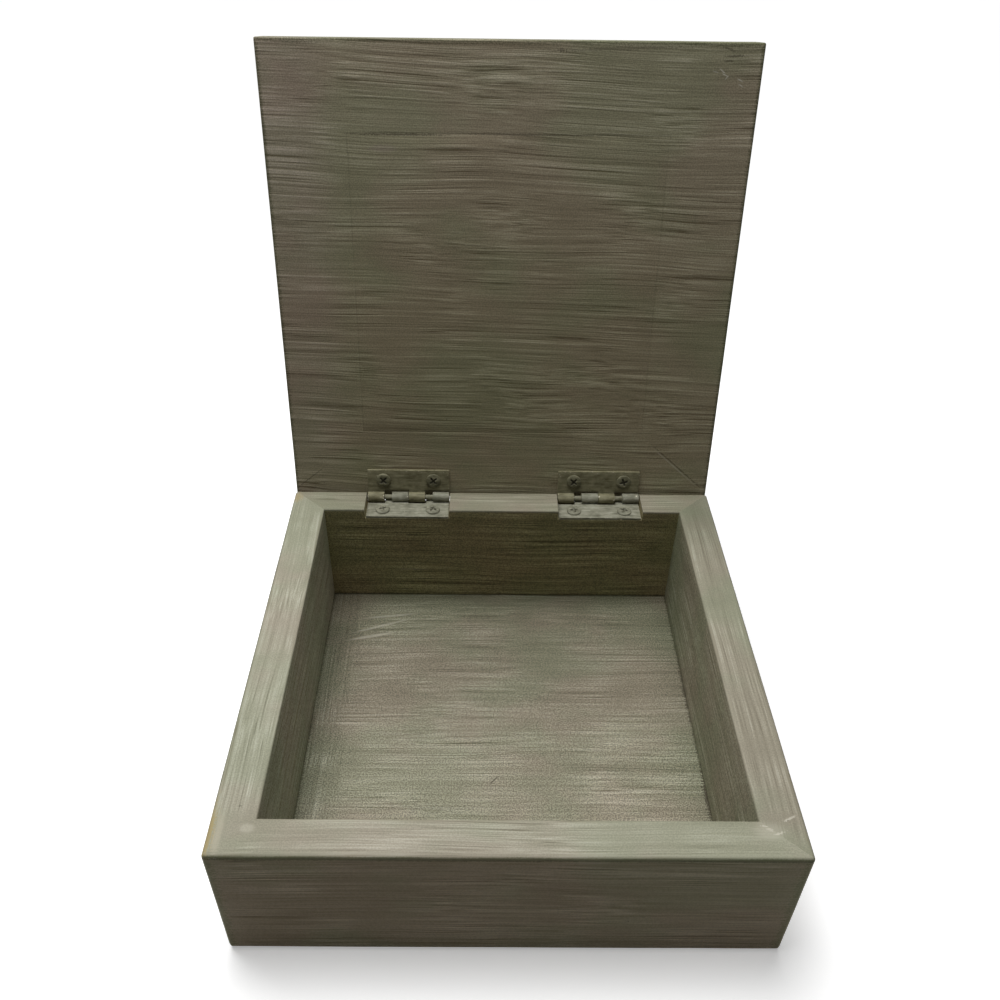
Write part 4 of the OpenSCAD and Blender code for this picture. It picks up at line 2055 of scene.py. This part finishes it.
SCUFF = paint_tone(205, 200, 184)
BARE_WOOD = paint_tone(158, 142, 98)
CREAM = paint_tone(178, 170, 150)
GRIME = paint_tone(60, 54, 40)
MAUVE = paint_tone(160, 146, 138)
BODY_MARKS = (
    Mark((-70.2, -62.0, 41.7), (2.6, 12.0, 1.8), BARE_WOOD, 0.85, 0.4),
    Mark((-67.2, -63.0, 42.0), (1.2, 8.0, 1.8), CREAM, 0.5, 0.5),
    Mark((-68.8, 66.0, 41.6), (2.0, 3.4, 1.6), BARE_WOOD, 0.6, 0.5),
    Mark((66.4, -58.6, 42.0), (1.8, 0.35, 2.0), SCUFF, 0.55, 0.6, 27.0),
    Mark((63.1, -62.6, 42.0), (1.6, 0.35, 2.0), SCUFF, 0.55, 0.6, 20.0),
    Mark((61.2, -61.6, 42.0), (1.0, 0.6, 2.0), SCUFF, 0.4, 0.9, -30.0),
    Mark((59.9, -60.6, 42.0), (1.0, 0.35, 2.0), SCUFF, 0.45, 0.6, -10.0),
    Mark((61.0, -62.0, 42.0), (4.5, 3.0, 2.0), SCUFF, 0.22, 0.4),
    Mark((-60.9, -61.9, 42.0), (2.4, 1.6, 2.0), SCUFF, 0.26, 0.3),
    Mark((-63.6, -55.9, 42.0), (0.5, 0.45, 1.0), GRIME, 0.4, 0.5),
    Mark((-30.0, 59.0, 16.0), (7.0, 2.0, 0.4), SCUFF, 0.2, 0.3),
)
FLOOR_MARKS = (
    Mark((-2.7, -20.5, 4.0), (2.6, 0.32, 1.0), GRIME, 0.75, 0.2, 45.0),
    Mark((58.8, -26.0, 4.0), (1.0, 12.0, 1.0), GRIME, 0.75, 0.7),
    Mark((58.8, 14.0, 4.0), (0.9, 16.0, 1.0), GRIME, 0.6, 0.9),
    Mark((-44.0, 38.0, 4.0), (10.0, 0.7, 1.0), SCUFF, 0.3, 0.3, 14.0),
    Mark((-41.0, 43.0, 4.0), (12.0, 0.6, 1.0), SCUFF, 0.25, 0.3, 20.0),
    Mark((-38.0, 48.0, 4.0), (11.0, 0.7, 1.0), SCUFF, 0.22, 0.3, 8.0),
    Mark((-20.0, -30.0, 4.0), (16.0, 1.2, 1.0), GRIME, 0.16, 0.5),
)
LID_MARKS = (
    Mark((58.8, -62.4, 42.3), (1.3, 0.2, 1.5), SCUFF, 0.8, 0.15, 37.0),
    Mark((59.7, -61.4, 42.3), (1.3, 0.2, 1.5), SCUFF, 0.7, 0.15, 22.0),
    Mark((60.2, -60.8, 42.3), (0.9, 0.18, 1.5), SCUFF, 0.6, 0.15, -51.0),
    Mark((56.9, -62.2, 42.3), (1.2, 0.18, 1.5), SCUFF, 0.4, 0.15, 14.0),
    Mark((64.0, -60.2, 42.3), (1.2, 0.2, 1.5), SCUFF, 0.8, 0.15, 22.0),
    Mark((64.4, -58.8, 42.3), (1.0, 0.2, 1.5), SCUFF, 0.6, 0.15, 28.0),
    Mark((61.8, -66.1, 42.3), (3.4, 0.4, 1.5), GRIME, 0.6, 0.3, -4.0),
    Mark((60.0, -67.8, 42.3), (2.0, 0.4, 1.5), GRIME, 0.55, 0.3, 14.0),
    Mark((60.4, -64.9, 42.3), (1.8, 0.3, 1.5), GRIME, 0.55, 0.3),
    Mark((30.0, -67.6, 42.3), (22.0, 0.6, 1.5), GRIME, 0.35, 0.3, -2.0),
    Mark((14.2, -67.1, 42.3), (1.6, 0.5, 1.5), GRIME, 0.4, 0.6),
    Mark((-30.0, -45.3, 42.3), (16.0, 0.4, 1.5), GRIME, 0.75, 0.4),
    Mark((4.0, -45.6, 42.3), (22.0, 0.3, 1.5), GRIME, 0.4, 0.4),
    Mark((-36.0, -41.5, 42.3), (5.0, 1.3, 1.5), MAUVE, 0.3, 0.3),
    Mark((59.0, 57.5, 42.3), (16.0, 0.3, 1.5), GRIME, 0.55, 0.25, 41.0),
    Mark((58.6, 58.0, 42.3), (13.0, 0.25, 1.5), SCUFF, 0.3, 0.25, 41.0),
    Mark((-64.8, 62.6, 42.3), (8.0, 0.3, 1.5), GRIME, 0.5, 0.25, -39.0),
)
FRONT_PAINT = BrushedPaint("wall paint", 1.0, tint=(0.99, 1.04, 1.07), graininess=0.11,
                           marks=BODY_MARKS)
# The walls' tints set the paint's hue and also paint light: the left wall a little lighter, the
# back wall darker as painted shade under the open lid, and the right wall darker, with a fade that
# darkens it towards the back as painted shade.
BODY_PAINTS = {
    Quarter.FRONT: FRONT_PAINT,
    Quarter.LEFT: replace(FRONT_PAINT, name="left wall paint", seed=2.0, tint=(1.02, 1.08, 1.12)),
    Quarter.BACK: replace(FRONT_PAINT, name="back wall paint", seed=3.0, contrast=1.25,
                          tint=(0.86, 0.9, 0.9)),
    Quarter.RIGHT: replace(FRONT_PAINT, name="right wall paint", seed=4.0, tint=(0.95, 1.01, 1.03),
                           fades=(Fade(15.0, 60.0, (0.76, 0.8, 0.76)),)),
}
# Painted light and shade on each wall's inner face: the front and right faces darker, the left a
# little lighter, the back browner and darker.
INNER_TINTS = {
    Quarter.FRONT: (0.9, 0.9, 0.86),
    Quarter.LEFT: (1.03, 1.04, 1.02),
    Quarter.BACK: (0.98, 0.91, 0.67),
    Quarter.RIGHT: (0.96, 0.95, 0.9),
}
# The lid's leaf gets a darker, more olive copy of the body leaf's coat: painted shade on the lid's
# side of the hinge.
METAL_COATS = {
    "body": PaintedMetal("body leaf paint", 40.0, coat=paint_tone(133, 132, 115),
                         coat_light=paint_tone(163, 162, 146), coat_shade=paint_tone(94, 93, 78)),
    "lid": PaintedMetal("lid leaf paint", 40.0, coat=paint_tone(122, 118, 92),
                        coat_light=paint_tone(150, 146, 119), coat_shade=paint_tone(82, 79, 56)),
}
PIN_COAT = PaintedMetal("pin paint", 40.0, bare=0.0)
HINGE_SEEDS = {Side.LEFT: 41.0, Side.RIGHT: 42.0}
SCREW_TURNS = {"body": (20.0, 55.0, 10.0, 70.0), "lid": (45.0, 38.0, 50.0, 20.0)}
# The lid's screws get a darker copy of the coat as painted shade; the body's screws get weaker
# painted shade in their recesses.
SCREW_COATS = {
    "body": PaintedMetal("body screw paint", 60.0, coat=paint_tone(128, 127, 110), recess_shade_strength=0.35),
    "lid": PaintedMetal("lid screw paint", 60.0, coat=paint_tone(104, 102, 80),
                        coat_light=paint_tone(134, 131, 108), coat_shade=paint_tone(64, 62, 44)),
}
# The floor's tint is darker than the walls' paint, partly as painted shade inside the box, and its
# fade darkens it towards the back as painted shade.
FLOOR_PAINT = BrushedPaint("floor paint", 5.0, tint=(0.84, 0.86, 0.85), contrast=0.75,
                           cloudiness=0.45, graininess=0.42, cross_past=-49.0,
                           fades=(Fade(-42.0, 50.0, (0.72, 0.72, 0.7)),), marks=FLOOR_MARKS)
# The first fade darkens the lid towards the hinge as painted shade; the second tints its left side
# mauve.
LID_PAINT = BrushedPaint("lid paint", 6.0, on_lid=True, slant=-0.03, contrast=1.1, wave=2.4,
                         tint=(1.1, 1.09, 1.02), graininess=0.16, rubbed=0.7,
                         under_paint=paint_tone(72, 70, 52), marks=LID_MARKS,
                         fades=(Fade(-60.0, 15.0, (0.84, 0.85, 0.79)),
                                Fade(-46.0, -60.0, (1.1, 1.03, 1.14), "X")))


def main() -> None:
    """Builds the box, the lid, the hinges, the screws and the studio."""
    logging.basicConfig(level=logging.INFO, format="%(name)s: %(message)s")
    bpy.context.scene.view_settings.view_transform = "Standard"
    finish = HandFinish()
    setting = ScrewSetting()
    pieces = BoxBody(finish).build() + Lid(finish).build()
    for side in Side:
        pieces += ButtHinge(side).build()
    for body, turns in SCREW_TURNS.items():
        pieces.append(ScrewRow(setting, body, turns).build())
    for piece in pieces:
        log.info("%s: %d faces", piece.name, len(piece.data.polygons))
    Studio().build()


if __name__ == "__main__":
    main()
